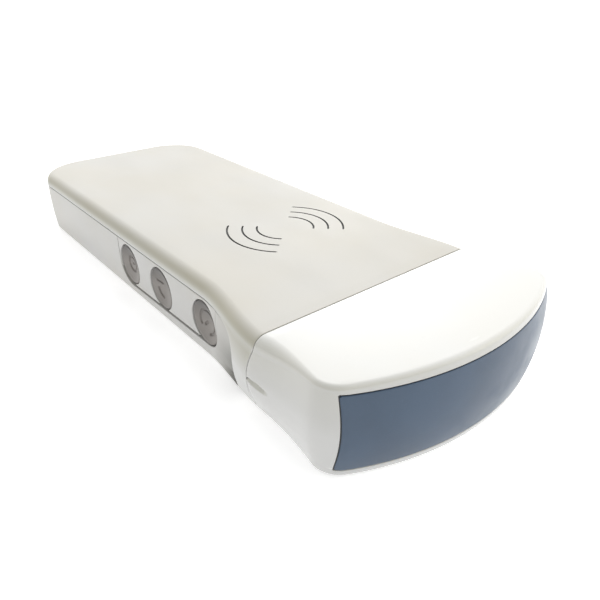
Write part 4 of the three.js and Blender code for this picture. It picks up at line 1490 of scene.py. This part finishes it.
def aim_camera():
    azimuth, elevation, roll = (math.radians(turn) for turn in (CAMERA_AZIMUTH, CAMERA_HEIGHT, CAMERA_ROLL))
    back = Vector((math.sin(azimuth) * math.cos(elevation), -math.cos(azimuth) * math.cos(elevation),
                   math.sin(elevation)))
    right = Vector((math.cos(azimuth), math.sin(azimuth), 0))
    up = back.cross(right)
    data = bpy.data.cameras.new("camera")
    data.lens = FOCAL_LENGTH
    data.clip_start = 0.005
    data.clip_end = 50
    camera = bpy.data.objects.new("camera", data)
    bpy.context.scene.collection.objects.link(camera)
    rotation = camera.matrix_world.to_3x3()
    turned_right = right * math.cos(roll) + up * math.sin(roll)
    turned_up = up * math.cos(roll) - right * math.sin(roll)
    for k in range(3):
        rotation[k] = (turned_right[k], turned_up[k], back[k])
    camera.matrix_world = rotation.to_4x4()
    camera.location = Vector(CAMERA_TARGET) * MM + back * CAMERA_DISTANCE * MM
    bpy.context.scene.camera = camera


# ---------- room ----------
# Each soft source of the studio: azimuth from +X and elevation in degrees, tightness and strength.
SOFT_SOURCES = ((0, 45, 8, 0.9), (45, 45, 8, 0.9), (-45, 45, 8, 0.9), (0, 12, 14, 1.0), (45, 12, 14, 1.1),
                (90, 12, 14, 2.5), (-45, 12, 14, 1.2), (48, 17, 60, 2.0))
EVEN_LIGHT = 0.5
HORIZON_LIGHT, HORIZON_REACH = 0.6, 0.12
FLOOR_GLOW = 0.45
FLOOR_REACH = 20.0  # in metres
WHITE = (1, 1, 1)


def make_world():
    """A white studio: even light, a bright horizon, and wide soft sources on the right and behind."""
    world = bpy.data.worlds.new("studio")
    world.use_nodes = True
    bpy.context.scene.world = world
    sky = Nodes(world.node_tree)
    direction = sky.add("ShaderNodeTexCoord").outputs["Generated"]
    height = sky.math("DIVIDE", sky.math("ABSOLUTE", sky.axes(direction)["Z"]), HORIZON_REACH)
    haze = sky.math("MAXIMUM", sky.math("SUBTRACT", 1.0, height), 0.0)
    total = sky.math("ADD", sky.product(haze, HORIZON_LIGHT), EVEN_LIGHT)
    for azimuth, elevation, tightness, strength in SOFT_SOURCES:
        around, up = math.radians(azimuth), math.radians(elevation)
        facing = sky.add("ShaderNodeVectorMath", operation="DOT_PRODUCT")
        sky.wire(direction, facing.inputs[0])
        facing.inputs[1].default_value = (math.cos(around) * math.cos(up), math.sin(around) * math.cos(up),
                                          math.sin(up))
        lobe = sky.math("POWER", sky.math("MAXIMUM", facing.outputs["Value"], 0.0), tightness)
        total = sky.math("ADD", total, sky.product(lobe, strength))
    background = sky.tree.nodes["Background"]
    sky.wire(WHITE, background.inputs["Color"])
    sky.wire(total, background.inputs["Strength"])


def make_floor():
    corners = [(x * FLOOR_REACH, y * FLOOR_REACH, 0) for x, y in ((-1, -1), (1, -1), (1, 1), (-1, 1))]
    mesh = bpy.data.meshes.new("floor")
    mesh.from_pydata(corners, [], [(0, 1, 2, 3)])
    floor = bpy.data.objects.new("floor", mesh)
    bpy.context.scene.collection.objects.link(floor)
    finish = Finish("pale_floor")
    shade = finish.span(finish.noise(60, 2), 0.3, 0.7)
    colour = finish.blend(shade, (0.93, 0.93, 0.93), (0.95, 0.95, 0.95))
    finish.surface(colour=colour, roughness=0.9, specular=0.1, glow=WHITE, glow_strength=FLOOR_GLOW)
    mesh.materials.append(finish.material)


paint_everything(build_pieces())
aim_camera()
make_world()
make_floor()
bpy.context.scene.view_settings.view_transform = "Standard"
bpy.context.scene.view_settings.look = "None"
